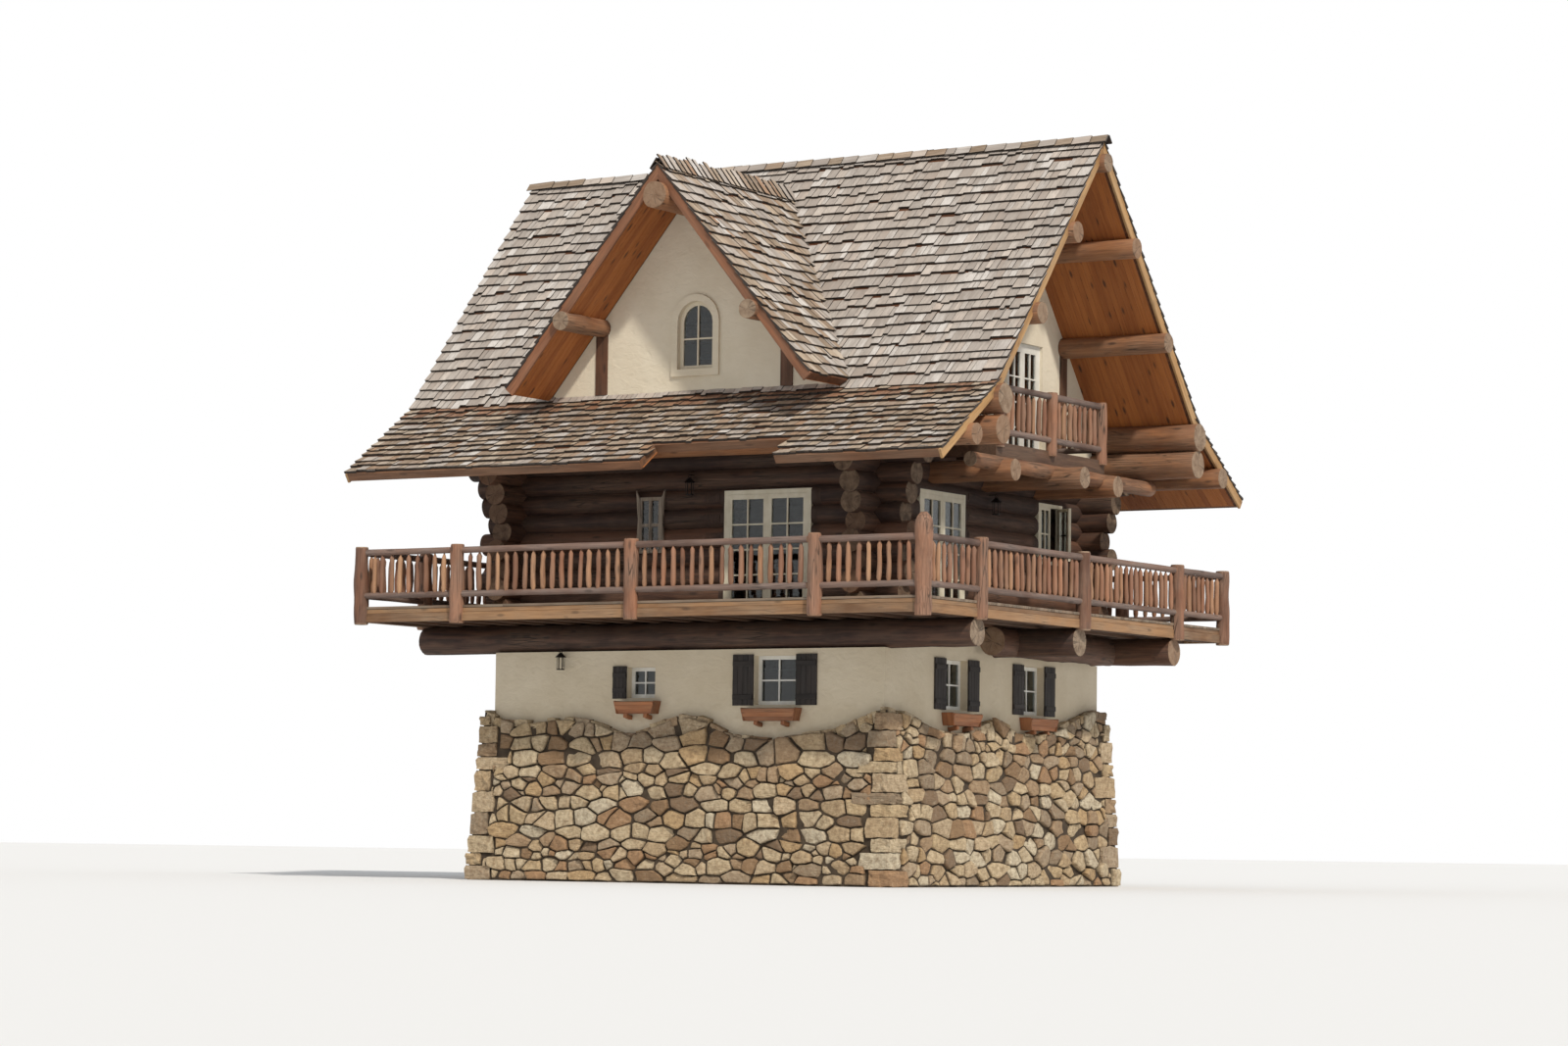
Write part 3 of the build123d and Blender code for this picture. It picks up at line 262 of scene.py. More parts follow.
class Nodes:
    def __init__(self, tree):
        self.tree = tree

    def feed(self, inputs, values):
        for key, value in values.items():
            if isinstance(value, bpy.types.NodeSocket):
                self.tree.links.new(value, inputs[key])
            else:
                inputs[key].default_value = colour(value) if isinstance(value, str) else value

    def add(self, kind, values=None, **settings):
        node = self.tree.nodes.new("ShaderNode" + kind)
        for key, value in settings.items():
            setattr(node, key, value)
        self.feed(node.inputs, values or {})
        return node

    def calc(self, operation, first, second=0.0, clamp=False):
        values = {0: first, 1: second}
        return self.add("Math", values, operation=operation, use_clamp=clamp).outputs[0]

    def times(self, first, second, clamp=False):
        return self.calc("MULTIPLY", first, second, clamp)

    def plus(self, first, second, clamp=False):
        return self.calc("ADD", first, second, clamp)

    def minus(self, first, second):
        return self.calc("SUBTRACT", first, second)

    def mix(self, factor, first, second):
        values = {0: factor, 6: first, 7: second}
        return self.add("Mix", values, data_type="RGBA").outputs[2]

    def span(self, value, low, high, to_low=0.0, to_high=1.0):
        values = {0: value, 1: low, 2: high, 3: to_low, 4: to_high}
        return self.add("MapRange", values, clamp=True).outputs[0]

    def stretch(self, vector, amounts):
        return self.add("VectorMath", {0: vector, 1: amounts}, operation="MULTIPLY").outputs[0]

    def cloud(self, vector, scale, detail=3.0, rough=0.55, bend=0.0):
        values = {"Vector": vector, "Scale": scale, "Detail": detail, "Roughness": rough}
        return self.add("TexNoise", {**values, "Distortion": bend}).outputs[0]

    def cells(self, vector, feature="F1"):
        values = {"Vector": vector, "Scale": 1.0}
        return self.add("TexVoronoi", values, feature=feature).outputs["Distance"]

    def place(self):
        return self.add("TexCoord").outputs["Object"]

    def own(self, name, output):
        return self.add("Attribute", attribute_name=name).outputs[output]

    def surface(self, tone, rough, height, relief, others=None):
        bump = self.add("Bump", {"Height": height, "Distance": relief, "Strength": 1.0})
        values = {"Base Color": tone, "Roughness": rough, "Normal": bump.outputs[0]}
        shader = self.tree.nodes["Principled BSDF"]
        self.feed(shader.inputs, {**values, **(others or {})})


# %% The wood pattern
wood_tree = bpy.data.node_groups.new("Wood pattern", "ShaderNodeTree")
for way, sockets in (
    ("INPUT", {"Grain": "Vector", "Tint": "Float", "Light": "Color", "Dark": "Color",
               "Weathered": "Color", "Weather": "Float", "Cracks": "Float", "Knots": "Float"}),
    ("OUTPUT", {"Color": "Color", "Roughness": "Float", "Height": "Float"}),
):
    for title, kind in sockets.items():
        wood_tree.interface.new_socket(title, in_out=way, socket_type="NodeSocket" + kind)
given = wood_tree.nodes.new("NodeGroupInput").outputs
grain = given["Grain"]
n = Nodes(wood_tree)
fibres = n.cloud(n.stretch(grain, (2.5, 60, 60)), 1.0, 4, 0.6)
streaks = n.cloud(n.stretch(grain, (0.9, 11, 11)), 1.0, 4, 0.6, 0.5)
patches = n.cloud(n.stretch(grain, (0.8, 1.6, 1.6)), 1.0, 3, 0.6)
knots = n.span(n.cells(n.stretch(grain, (1.7, 5.5, 5.5))), 0.09, 0.2, 1, 0)
knots = n.times(knots, given["Knots"])
cracks = n.cells(n.stretch(grain, (0.8, 17, 17)), "DISTANCE_TO_EDGE")
cracks = n.times(n.span(cracks, 0.015, 0.045, 1, 0), n.span(patches, 0.5, 0.62))
cracks = n.times(cracks, given["Cracks"])
shade = n.plus(n.span(streaks, 0.3, 0.7), n.minus(given["Tint"], 0.5), True)
base = n.mix(shade, given["Dark"], given["Light"])
worn = n.times(n.span(patches, 0.38, 0.66), given["Weather"], True)
base = n.mix(worn, base, given["Weathered"])
base = n.mix(n.span(fibres, 0.3, 0.7, 0.45, 0.0), base, given["Dark"])
base = n.mix(n.times(knots, 0.8), base, (0.02, 0.011, 0.006, 1))
base = n.mix(n.times(cracks, 0.85), base, (0.012, 0.008, 0.005, 1))
height = n.minus(n.plus(n.times(fibres, 0.35), n.times(streaks, 0.5)), cracks)
results = {"Color": base, "Roughness": n.span(streaks, 0.2, 0.8, 0.85, 0.6), "Height": height}
n.feed(wood_tree.nodes.new("NodeGroupOutput").inputs, results)
print("wood pattern:", len(wood_tree.nodes), "nodes")


# %% Making a wood finish
def new_material(name):
    material = bpy.data.materials.new(name)
    material.use_nodes = True
    return material, Nodes(material.node_tree)


def solid_grain(n, along):
    turns = {"x": (0, 0, 0), "y": (0, 0, radians(-90)), "z": (0, radians(90), 0)}
    return n.add("Mapping", {"Vector": n.place(), "Rotation": turns[along]}).outputs[0]


def by_tint(n, tint, shades):
    ramp = n.add("ValToRGB", {0: n.calc("FRACT", n.times(tint, 7.31))})
    ramp.color_ramp.interpolation = "CONSTANT"
    stops = ramp.color_ramp.elements
    while len(stops) < len(shades):
        stops.new(0.5)
    for index, shade in enumerate(shades):
        stops[index].position = index / len(shades)
        stops[index].color = colour(shade)
    return ramp.outputs[0]


def wood(name, tones, weather=0.4, cracks=0.4, knots=0.5, relief=0.003, along=None, kinds=""):
    material, n = new_material(name)
    light, dark, weathered = tones.split()
    tint = 0.5 if along else n.own("tint", "Fac")
    pattern = n.add("Group", {
        "Grain": solid_grain(n, along) if along else n.own("grain", "Vector"), "Tint": tint,
        "Light": by_tint(n, tint, kinds.split()) if kinds else light, "Dark": dark,
        "Weathered": weathered, "Weather": weather, "Cracks": cracks, "Knots": knots,
    }, node_tree=wood_tree).outputs
    n.surface(pattern["Color"], pattern["Roughness"], pattern["Height"], relief)
    return material


def end_grain(name, tones):
    material, n = new_material(name)
    pale, dark, warm = tones.split()
    grain = n.own("grain", "Vector")
    x, y, z = n.add("SeparateXYZ", {0: grain}).outputs
    flat = n.add("CombineXYZ", {1: y, 2: z}).outputs[0]
    radius = n.add("VectorMath", {0: flat}, operation="LENGTH").outputs["Value"]
    wobble = n.cloud(n.stretch(grain, (1, 5, 5)), 1.0, 3)
    rings = n.calc("SINE", n.plus(n.times(radius, 520.0), n.times(wobble, 9.0)))
    fan = {0: x, 1: n.times(n.calc("ARCTAN2", y, z), 2.2), 2: n.times(radius, 1.5)}
    spokes = n.cloud(n.add("CombineXYZ", fan).outputs[0], 1.6, 2)
    spokes = n.span(spokes, 0.34, 0.4, 1, 0)
    stain = n.cloud(n.stretch(grain, (1, 6, 6)), 1.3, 4, 0.65)
    tone = n.mix(n.span(stain, 0.3, 0.7), dark, pale)
    tone = n.mix(n.span(n.own("tint", "Fac"), 0.25, 0.85, 0.0, 0.6), tone, warm)
    tone = n.mix(n.times(n.span(rings, -1, 1), 0.3), tone, dark)
    tone = n.mix(n.times(spokes, 0.5), tone, (0.02, 0.014, 0.01, 1))
    n.surface(tone, 0.85, n.minus(n.times(rings, 0.15), spokes), 0.006)
    return material


# %% [markdown]
# ## The finishes of this house
#
# The shakes have turned silver, with warmer ones among them. Logs that are sheltered keep their
# dark oil, and the logs of the walls and the deck are darkened further with painted shade. The
# poles of the railing, out in the sun, are reddish with grey tops. Boards under the roof are still
# orange-brown. The cut ends of the logs have weathered to a cracked grey; the ends on the log
# walls are painted darker, as painted shade, and the dormer's barge boards are a copy of the
# golden ones darkened with painted shade.

# %% Wood finishes
SILVERS = "d6cfc8 c6bcb2 ded8d2 b5aaa0 cdbdaf c0b3a7 d3c6ba aa9a8d"
TANS = "c9b6a0 baa590 d2c3b1 ad937d bfab98 a58e7c ccbcac b08a6c"
PEELED = "b28461 9c6c50 bf926b 8a5c45 a87658"
shake_silver = wood("Silver shakes", "d2cbc4 968b82 c9c1b8", 0.4, 0.4, 0.0, 0.004, kinds=SILVERS)
shake_warm = wood("Tan shakes", "c2ac94 79644f b7a998", 0.35, 0.4, 0.0, 0.004, kinds=TANS)
shake_red = wood("Reddish shakes", "a97e62 64452f 97826f", 0.35, 0.4, 0.0, 0.004)
# Near-black finish for the shake's lower edge, sides and underside: painted shade under the butts.
painted_shade_on_shakes = wood("Shake edges painted with shade", "3c322b 1f1915 4a3f36", 0.3, 0.4, 0.0, 0.004)
# Wall and deck logs: dark oil, made darker still with painted shade.
oiled_logs_in_shade = wood("Dark oiled logs with painted shade", "6c4833 2d1b14 725b49", 0.4, 0.8, 0.8, 0.012)
roof_log = wood("Brown roof logs", "a5714a 5a3824 9b8069", 0.5, 0.8, 0.8, 0.012)
log_end = end_grain("Cut log ends", "a99680 6c5846 8d6547")
# Ends of the wall logs: the cut-end colour darkened, as painted shade.
shaded_log_ends = end_grain("Log ends painted in shade", "8a735d 4a3a2c 6e4a33")
post_pole = wood("Knotty posts", "9e6e52 553626 947d6c", 0.6, 0.95, 1.0, 0.014)
post_end = end_grain("Cut post ends", "ab927b 6f5645 95694d")
rail_pole = wood("Grey rails", "86695a 4a372f 8f8078", 0.7, 0.6, 0.6, 0.006)
stick = wood("Peeled sticks", "b08260 704a35 a58c77", 0.4, 0.3, 0.6, 0.004, kinds=PEELED)
rim_board = wood("Rim boards", "a67d55 66472e 9f8a72", 0.5, 0.5, 0.6, 0.004)
plank = wood("Deck planks", "8f7762 594737 968c7d", 0.7, 0.5, 0.5, 0.004)
soffit = wood("Orange soffit boards", "b06c33 8a4d20 a4683a", 0.3, 0.1, 1.0)
barge_gold = wood("Golden barge boards", "c49a66 8f673c b7a384")
# The dormer's barge boards: the golden boards darkened, as painted shade.
shaded_barge_boards = wood("Barge boards painted in shade", "98613f 5b3824 90725c")
trim_x = wood("Fascia boards", "8c6040 563825 8e7560", 0.45, along="x")
joist_y = wood("Deck joists", "6b4c36 3f2b1f 6f5c4c", along="y")
floor_x = wood("Floor boards", "8d6848 5a4029 8c7660", 0.4, 0.3, along="x")
core_x = wood("Boards behind the soffit", "6d3f1f 3f2412 6a4226", 0.3, 0.2, 0.3, along="x")
post_z = wood("Wall posts", "6b452e 3a2418 7c5f4a", 0.4, 0.7, 0.7, 0.008, "z")
shutter_wood = wood("Dark shutters", "2f2825 171210 40372f", knots=0.3)
box_wood = wood("Flower box boards", "b07045 74462b a8886a", knots=0.6)
slab_wood = wood("Weathered slabs", "ab9a86 655446 b3a899", 0.6, 0.7, 0.5, 0.01, "z")
print("wood finishes:", len(bpy.data.materials))


# %% [markdown]
# ## Stucco, stone, paint, glass and iron
#
# Stucco is trowelled by hand: broad soft waves, fine sand, and a few stains where rain splashes
# off the stones. Rubble has buff, ochre, grey and rusty stones, so its material picks a colour by
# tint and breaks it up with noise; ambient occlusion darkens its joints and hollows as painted
# shade, and the solids behind the stones get a near-black backing that is painted shade in the
# joints. Paint and iron need only small changes of colour and gloss.

# %% Mineral finishes
def stucco(name, pale, stain):
    material, n = new_material(name)
    place = n.place()
    broad = n.cloud(place, 0.9, 4, 0.6)
    trowel = n.cloud(n.stretch(place, (1, 1, 1.6)), 5.0, 3, 0.5, 0.6)
    sand = n.cloud(place, 140.0, 2)
    height_up = n.add("SeparateXYZ", {0: place}).outputs[2]
    splash = n.times(n.span(height_up, 2.4, 3.6, 0.5, 0.0), n.span(trowel, 0.4, 0.65))
    tone = n.mix(n.span(broad, 0.35, 0.75, 0, 0.6), pale, stain)
    tone = n.mix(splash, tone, stain)
    tone = n.mix(n.span(trowel, 0.62, 0.8, 0, 0.35), tone, stain)
    height = n.plus(n.times(trowel, 0.9), n.times(sand, 0.08))
    n.surface(tone, n.span(sand, 0.3, 0.7, 0.8, 0.95), height, 0.018)
    return material


def rubble(name, shades):
    material, n = new_material(name)
    stones = by_tint(n, n.own("tint", "Fac"), shades.split())
    place = n.place()
    mottle = n.cloud(place, 11.0, 6, 0.7)
    vein = n.cloud(n.stretch(place, (3, 3, 14)), 2.2, 4, 0.6, 0.8)
    grit = n.cloud(place, 90.0, 3)
    tone = n.mix(n.span(mottle, 0.43, 0.72, 0, 0.8), stones, "7d6043")
    tone = n.mix(n.span(mottle, 0.2, 0.42, 0.3, 0), tone, "efe4cd")
    tone = n.mix(n.span(vein, 0.57, 0.72, 0, 0.45), tone, "77634d")
    tone = n.mix(n.span(vein, 0.2, 0.32, 0.3, 0), tone, "b07c50")
    # Ambient occlusion darkens joints and hollows towards 33281d: painted shade.
    painted_shade_in_joints = n.add("AmbientOcclusion", {"Distance": 0.06}, samples=4).outputs["AO"]
    tone = n.mix(n.span(painted_shade_in_joints, 0.3, 0.92, 0.85, 0.0), tone, "33281d")
    height = n.plus(n.plus(n.times(mottle, 1.0), n.times(vein, 0.7)), n.times(grit, 0.12))
    n.surface(tone, n.span(grit, 0.3, 0.7, 0.75, 0.95), height, 0.05)
    return material


def mottled(name, first, second, scale, rough_low, rough_high, relief, metal=0.0):
    material, n = new_material(name)
    place = n.place()
    broad = n.cloud(place, scale, 5, 0.6)
    fine = n.cloud(place, scale * 14, 3)
    tone = n.mix(n.span(broad, 0.3, 0.7), first, second)
    rough = n.span(broad, 0.3, 0.7, rough_low, rough_high)
    n.surface(tone, rough, n.plus(broad, n.times(fine, 0.3)), relief, {"Metallic": metal})
    return material


cream_stucco = stucco("Cream stucco", "ddd0b8", "c3b294")
attic_stucco = stucco("Attic stucco", "dfd5c0", "c9bca2")
stone_face = rubble(
    "Rubble stones",
    "cdb896 c0a784 cfbc9c ad9273 c9b390 9d8a72 bfa178 "
    "d4c6ab 957859 b5a085 ad8966 c8af89 867059 c7b191",
)
# Near-black backing on the solids behind the stones, seen through the joints: painted shade.
painted_joint_shade = mottled("Dark backing painted as shade", "4f4233", "33291f", 6.0, 0.9, 1.0, 0.02)
cream_paint = mottled("Cream paint", "e8e0ca", "d6ccb2", 5.0, 0.4, 0.6, 0.0008)
white_paint = mottled("White paint", "e9e7e0", "d5d2c8", 5.0, 0.4, 0.6, 0.0008)
iron = mottled("Black iron", "1c1a19", "2c2623", 30.0, 0.45, 0.7, 0.002, 0.6)

glass, n = new_material("Window glass")
ripple = n.cloud(n.place(), 3.0, 2)
gloss = n.span(ripple, 0.3, 0.7, 0.01, 0.05)
n.surface((0.55, 0.6, 0.6, 1), gloss, ripple, 0.002, {"Transmission Weight": 1.0, "IOR": 1.45})
print("finishes:", len(bpy.data.materials))

# %% [markdown]
# ## Finishes on the solids that stay
#
# Floors, walls, joinery and panes already have their true shape, so they only swap material.

# %% Painting the solids
for material, nodes in (
    # The stone solids get the near-black backing, painted shade in the joints.
    (painted_joint_shade, "stone_plinth stone_facing"),
    (cream_stucco, "stucco_wall_front stucco_wall_right stucco_wall_back stucco_wall_left"),
    (attic_stucco, "gable_wall_right gable_wall_left dormer_wall dormer_window"),
    (floor_x, "lower_floor main_floor upper_floor"), (joist_y, "deck_joists balcony_floor"),
    (core_x, "roof_deck_front roof_deck_back dormer_roof_deck"), (post_z, "wall_posts"),
    (trim_x, "fascia"), (glass, "window_glass"), (slab_wood, "slab_window"),
    (cream_paint, "deck_doors deck_windows"), (white_paint, "lower_windows gable_joinery"),
):
    for node in nodes.split():
        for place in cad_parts[node].material_slots:
            place.material = material
    print(material.name, "on", nodes)


# %% [markdown]
# ## Rubble walls
#
# Rubble is laid stone by stone, and no two are alike. A sheet of irregular cells, wider than
# tall, gives their outlines, and each cell is shrunk by half a joint. An inset could shape the
# faces, but it turns narrow stones inside out. So the outline is drawn in towards the stone's own
# middle, ring by ring, and poked, which gives a blunt, chiselled lump.

# %% The crest of the rubble
CREST_FRONT = [
    (-4.5, 3.08), (-3.9, 2.9), (-3.26, 2.88), (-2.71, 2.93), (-1.95, 2.87), (-1.09, 2.62),
    (-0.66, 2.74), (-0.03, 2.94), (0.49, 2.88), (1.12, 2.62), (1.84, 2.56), (2.45, 2.61),
    (3.26, 2.68), (3.86, 2.9), (4.5, 3.15),
]
CREST_RIGHT = [
    (-4.5, 3.15), (-3.29, 2.93), (-2.59, 2.76), (-1.69, 2.68), (-0.79, 2.83), (-0.23, 2.99),
    (0.33, 2.86), (0.9, 2.75), (1.86, 2.79), (2.85, 3.07), (3.65, 3.28), (4.5, 3.3),
]
CRESTS = {
    "front": CREST_FRONT, "right": CREST_RIGHT,
    "back": [(-along, z) for along, z in CREST_FRONT[::-1]],
    "left": [(-along, z) for along, z in CREST_RIGHT[::-1]],
}


def crest_z(wall, along):
    line = CRESTS[wall]
    for (start, low), (end, high) in zip(line, line[1:]):
        if along <= end:
            return low + (high - low) * max(0.0, along - start) / (end - start)
    return line[-1][1]


def crest_slope(wall, along):
    return (crest_z(wall, along + 0.15) - crest_z(wall, along - 0.15)) / 0.3


crest_heights = [z for along, z in CREST_FRONT + CREST_RIGHT]
print("crest between", min(crest_heights), "and", max(crest_heights), "m")


# %% Where the corner stones will sit
def reach_of_quoins(wall, z, end):
    for first, second, low, tall, size_x, size_y in QUOINS:
        if low <= z < low + tall:
            if end > 0 and first == wall:
                return size_x
            if end < 0 and second == wall:
                return size_y
    return 0.0


QUOINS = []
for index, wall in enumerate(WALLS):
    next_wall = list(WALLS)[(index + 1) % 4]
    top = min(crest_z(wall, 4.5), crest_z(next_wall, -4.5)) - 0.08
    z, turn_long = 0.0, False
    while z < top - 0.1:
        tall = min(rng.uniform(0.2, 0.42), top + 0.02 - z)
        slim = 0.7 if z > 2.3 else 1.0
        sides = [rng.uniform(0.45, 0.8) * slim, rng.uniform(0.3, 0.46) * slim]
        if turn_long:
            sides.reverse()
        QUOINS.append((wall, next_wall, z, tall, sides[1], sides[0]))
        z += tall
        turn_long = not turn_long
print(len(QUOINS), "corner stones")


# %% Outlines of the stones
def sides_of(outline):
    return zip(outline, outline[1:] + outline[:1])


def middle_of(outline):
    return sum(outline, Vector((0, 0))) / len(outline)


def clipped(outline, point, away):
    kept = []
    for here, there in sides_of(outline):
        inside = (here - point).dot(away) <= 0
        if inside:
            kept.append(here)
        if inside != ((there - point).dot(away) <= 0):
            share = (point - here).dot(away) / (there - here).dot(away)
            kept.append(here + (there - here) * share)
    return kept


def shrunk(outline, by):
    middle = middle_of(outline)
    size = sum((point - middle).length for point in outline) / len(outline)
    return [middle + (point - middle) * max(0.3, 1 - by / size) for point in outline]


SQUASH = Vector((0.55, 1.0))
NEAR = 0.75


def stone_seeds(wall, half_width):
    seeds = []
    z = 0.07
    while z < 3.4:
        tall = rng.choice((0.15, 0.19, 0.24, 0.29)) * rng.uniform(0.9, 1.1)
        along = -half_width + rng.uniform(0.02, 0.25)
        while along < half_width:
            at = Vector(((along + jitter(0.06)) * SQUASH.x, z + jitter(0.065)))
            if at.y < crest_z(wall, along) - 0.06:
                seeds.append((at, rng.uniform(0.0, 0.12) ** 2))
            along += tall * rng.choice((0.8, 1.2, 1.8, 2.5)) * rng.uniform(0.85, 1.15) + 0.05
        z += tall
    return seeds


def stone_cells(wall, half_width):
    cells = []
    seeds = stone_seeds(wall, half_width)
    for seed, weight in seeds:
        along = seed.x / SQUASH.x
        left = max(-half_width + reach_of_quoins(wall, seed.y, -1), along - 0.6)
        right = min(half_width - reach_of_quoins(wall, seed.y, 1), along + 0.6)
        if right <= left:
            continue
        low, high = max(0.02, seed.y - 0.5), seed.y + 0.5
        corners = ((left, low), (right, low), (right, high), (left, high))
        outline = [Vector((x * SQUASH.x, z)) for x, z in corners]
        for other, rival in seeds:
            gap = other - seed
            if 0 < gap.length < NEAR:
                share = 0.5 + (weight - rival) / (2 * gap.length_squared)
                outline = clipped(outline, seed + gap * share, gap)
        crest = Vector((seed.x, crest_z(wall, along) + 0.03))
        outline = clipped(outline, crest, Vector((-crest_slope(wall, along) / SQUASH.x, 1)))
        if len(outline) > 2:
            cells.append([Vector((point.x / SQUASH.x, point.y)) for point in outline])
    return cells


# %% Shaping each stone
HALF_JOINT, CLOSE = 0.016, 0.025
STONE_RINGS = ((0.0, -0.09), (0.0, 0.0), (0.014, 0.024), (0.045, 0.036))


def too_thin(outline):
    area = abs(sum((a.x * b.y - b.x * a.y) / 2 for a, b in sides_of(outline)))
    around = sum((b - a).length for a, b in sides_of(outline))
    return area < 0.003 or area / around ** 2 < 0.022


def merged(outline):
    kept = []
    for point in outline:
        if not kept or (point - kept[-1]).length > CLOSE:
            kept.append(point)
    if len(kept) > 3 and (kept[0] - kept[-1]).length < CLOSE:
        kept.pop()
    return kept


def chiselled(outline):
    middle = middle_of(outline)
    rough = []
    for here, there in sides_of(outline):
        rough.append(here + (middle - here) * rng.uniform(0.0, 0.08))
        if (there - here).length > 0.08:
            across = Vector((there.y - here.y, here.x - there.x))
            halfway = here.lerp(there, rng.uniform(0.3, 0.7))
            rough.append(halfway + across * rng.uniform(-0.02, 0.04))
    return rough


def rough_up(piece, amount):
    for point in piece.data.vertices:
        coarse, fine = noise.noise_vector(point.co * 5.3), noise.noise_vector(point.co * 17.0)
        point.co += coarse * amount + fine * amount * 0.5
        point.co.z = max(0.0, point.co.z)


def split_tints(piece):
    mesh = piece.data
    leader = list(range(len(mesh.vertices)))

    def find(index):
        while leader[index] != index:
            leader[index] = leader[leader[index]]
            index = leader[index]
        return index

    for edge in mesh.edges:
        leader[find(edge.vertices[0])] = find(edge.vertices[1])
    shades = {}
    everyone = range(len(mesh.vertices))
    set_tints(mesh, [shades.setdefault(find(index), rng.random()) for index in everyone])
    print(piece.name, "has", len(shades), "stones")


# %% Laying the rubble
def stone_points(wall, wide, deep, outline):
    push, lean_x, lean_z = rng.uniform(-0.015, 0.06), jitter(0.24), jitter(0.24)
    middle = middle_of(outline)
    for drawn_in, stands_out in STONE_RINGS:
        for point in shrunk(outline, drawn_in):
            reach = deep - point.y * BATTER + push + stands_out
            squeeze = (wide - point.y * BATTER) / wide
            lean = (point.x - middle.x) * lean_x + (point.y - middle.y) * lean_z
            yield turned(wall) @ Vector((point.x * squeeze, -reach - lean, point.y))


def rubble_wall(wall):
    wide, deep = half_and_face(wall, PLINTH_X, PLINTH_Y)
    points, faces = [], []
    for cell in stone_cells(wall, wide):
        outline = merged(shrunk(cell, HALF_JOINT))
        if len(outline) < 3 or too_thin(outline):
            continue
        outline = chiselled(outline)
        first, count = len(points), len(outline)
        last = first + 3 * count
        points.extend(stone_points(wall, wide, deep, outline))
        for low in range(first, last, count):
            for a, b in sides_of(list(range(low, low + count))):
                faces.append((a, b, b + count, a + count))
        faces.append(tuple(range(first + count - 1, first - 1, -1)))
        faces.append(tuple(range(last, last + count)))
    piece = new_piece("rubble_" + wall, points, faces, [stone_face])
    select(piece)
    pick(lambda mesh, face: len(face.vertices) > 4)
    bpy.ops.mesh.poke(offset=0.004)
    select()
    rough_up(piece, 0.02)
    split_tints(piece)
    return finish(piece)


for wall in WALLS:
    rubble_wall(wall)


# %% [markdown]
# ## Corner stones and crest stones
#
# At the corners larger blocks bind the two walls, long side turned one way and then the other,
# and flatter stones cap the facing where it ends against the stucco. Both come from one rough
# block: a cube is subdivided, rounded and knocked about.

# %% One rough block
def rough_block(seed):
    select()
    bpy.ops.mesh.primitive_cube_add(size=1)
    edit("FACE", "SELECT")
    bpy.ops.mesh.subdivide(number_cuts=3)
    select()
    for point in bpy.context.active_object.data.vertices:
        corner = point.co.length / 0.866
        point.co *= 1.02 - 0.16 * max(0, corner - 0.7)
        for scale, apart, amount in ((2.1, 9.1, 0.09), (6.0, 3.3, 0.03)):
            point.co += noise.noise_vector(point.co * scale + Vector((seed * apart, 0, 0))) * amount
    return keep_form()


BLOCKS = [rough_block(seed) for seed in range(5)]
print(len(BLOCKS), "blocks of", len(BLOCKS[0]["faces"]), "faces")

# %% Laying the blocks
PROUD = 0.055
corner_stones, crest_stones = [], []
for wall, next_wall, z, tall, size_x, size_y in QUOINS:
    wide, deep = half_and_face(wall, PLINTH_X, PLINTH_Y)
    inward = (z + tall / 2) * BATTER
    corner = Vector((wide - inward + PROUD, -(deep - inward) - PROUD, z + tall / 2))
    middle = corner + Vector((-size_x / 2, size_y / 2, 0))
    place = turned(wall) @ shift(*middle) @ turn(jitter(0.09), "Z")
    size = (size_x * 0.97, size_y * 0.97, tall * 0.93)
    put(corner_stones, rng.choice(BLOCKS), place, size)
for wall in WALLS:
    wide, deep = half_and_face(wall, STUCCO_X, STUCCO_Y)
    along = -wide - 0.1
    while along < wide + 0.02:
        long_side = min(rng.uniform(0.16, 0.42), wide + 0.12 - along)
        middle = along + long_side / 2
        top = crest_z(wall, middle)
        slope = atan2(crest_z(wall, middle + 0.2) - crest_z(wall, middle - 0.2), 0.4)
        tall = rng.uniform(0.09, 0.22)
        place = turned(wall) @ shift(middle, -deep - 0.065, top - 0.02 + jitter(0.03))
        place = place @ turn(-slope, "Y") @ turn(jitter(0.1), "Z")
        block = rng.choice(BLOCKS)
        put(crest_stones, block, place, (long_side * 0.98, rng.uniform(0.17, 0.24), tall))
        along += long_side
for name, stones in (("corner_stones", corner_stones), ("crest_stones", crest_stones)):
    for point in lay_out(name, stones, [stone_face]).data.vertices:
        point.co.z = max(0.0, point.co.z)

# %% [markdown]
# ## Shakes
#
# A shake is a split wedge of wood, thick at its lower edge. Courses start at the eave and go up,
# each covering the joints of the one below, and the lower edges never line up exactly, which
# gives the roof its ragged shadow lines. The lower edge, sides and underside of every shake are
# painted near-black too, as painted shade under the butts. On the flare the courses are closer
# together.

# %% The wedge
SHAKE_FINISHES = [shake_silver, shake_warm, shake_red, painted_shade_on_shakes]
# Every face that is not the top of a shake takes slot 3, the near-black painted shade.
EDGE = 3
WEDGE = {(False, True): 0.001, (False, False): -0.048, (True, True): -0.066, (True, False): -0.074}
for point in slab(-0.021):
    point.co.z = WEDGE[(point.co.x > 0.5, point.co.z > -0.02)]
SHAKE = keep_form()


def in_finish(form, slot, seen):
    faces = [[form["points"][index] for index in face] for face in form["faces"]]
    return dict(form, slots=[slot if seen(corners) else EDGE for corners in faces])


def on_top(corners):
    return sum(z for x, y, z in corners) > -0.15 and max(corners)[0] > 0.5


SILVER, TAN, RED = [in_finish(SHAKE, slot, on_top) for slot in range(3)]
print("shake slots", SILVER["slots"])


def slope_place(side_turn, along, run, height, steepness):
    up = Vector((0, cos(steepness), sin(steepness)))
    out = Vector((0, -sin(steepness), cos(steepness)))
    place = Matrix((up, Vector((-1, 0, 0)), out)).transposed().to_4x4()
    place.translation = Vector((along, -run, height))
    return turn(radians(side_turn), "Z") @ place


# %% One course of shakes
SHAKE_WIDTHS = (0.10, 0.13, 0.16, 0.2, 0.26)
SLIDES = (-0.16, -0.09, 0.0, 0.08, 0.16)
OVERLAP = 1.5


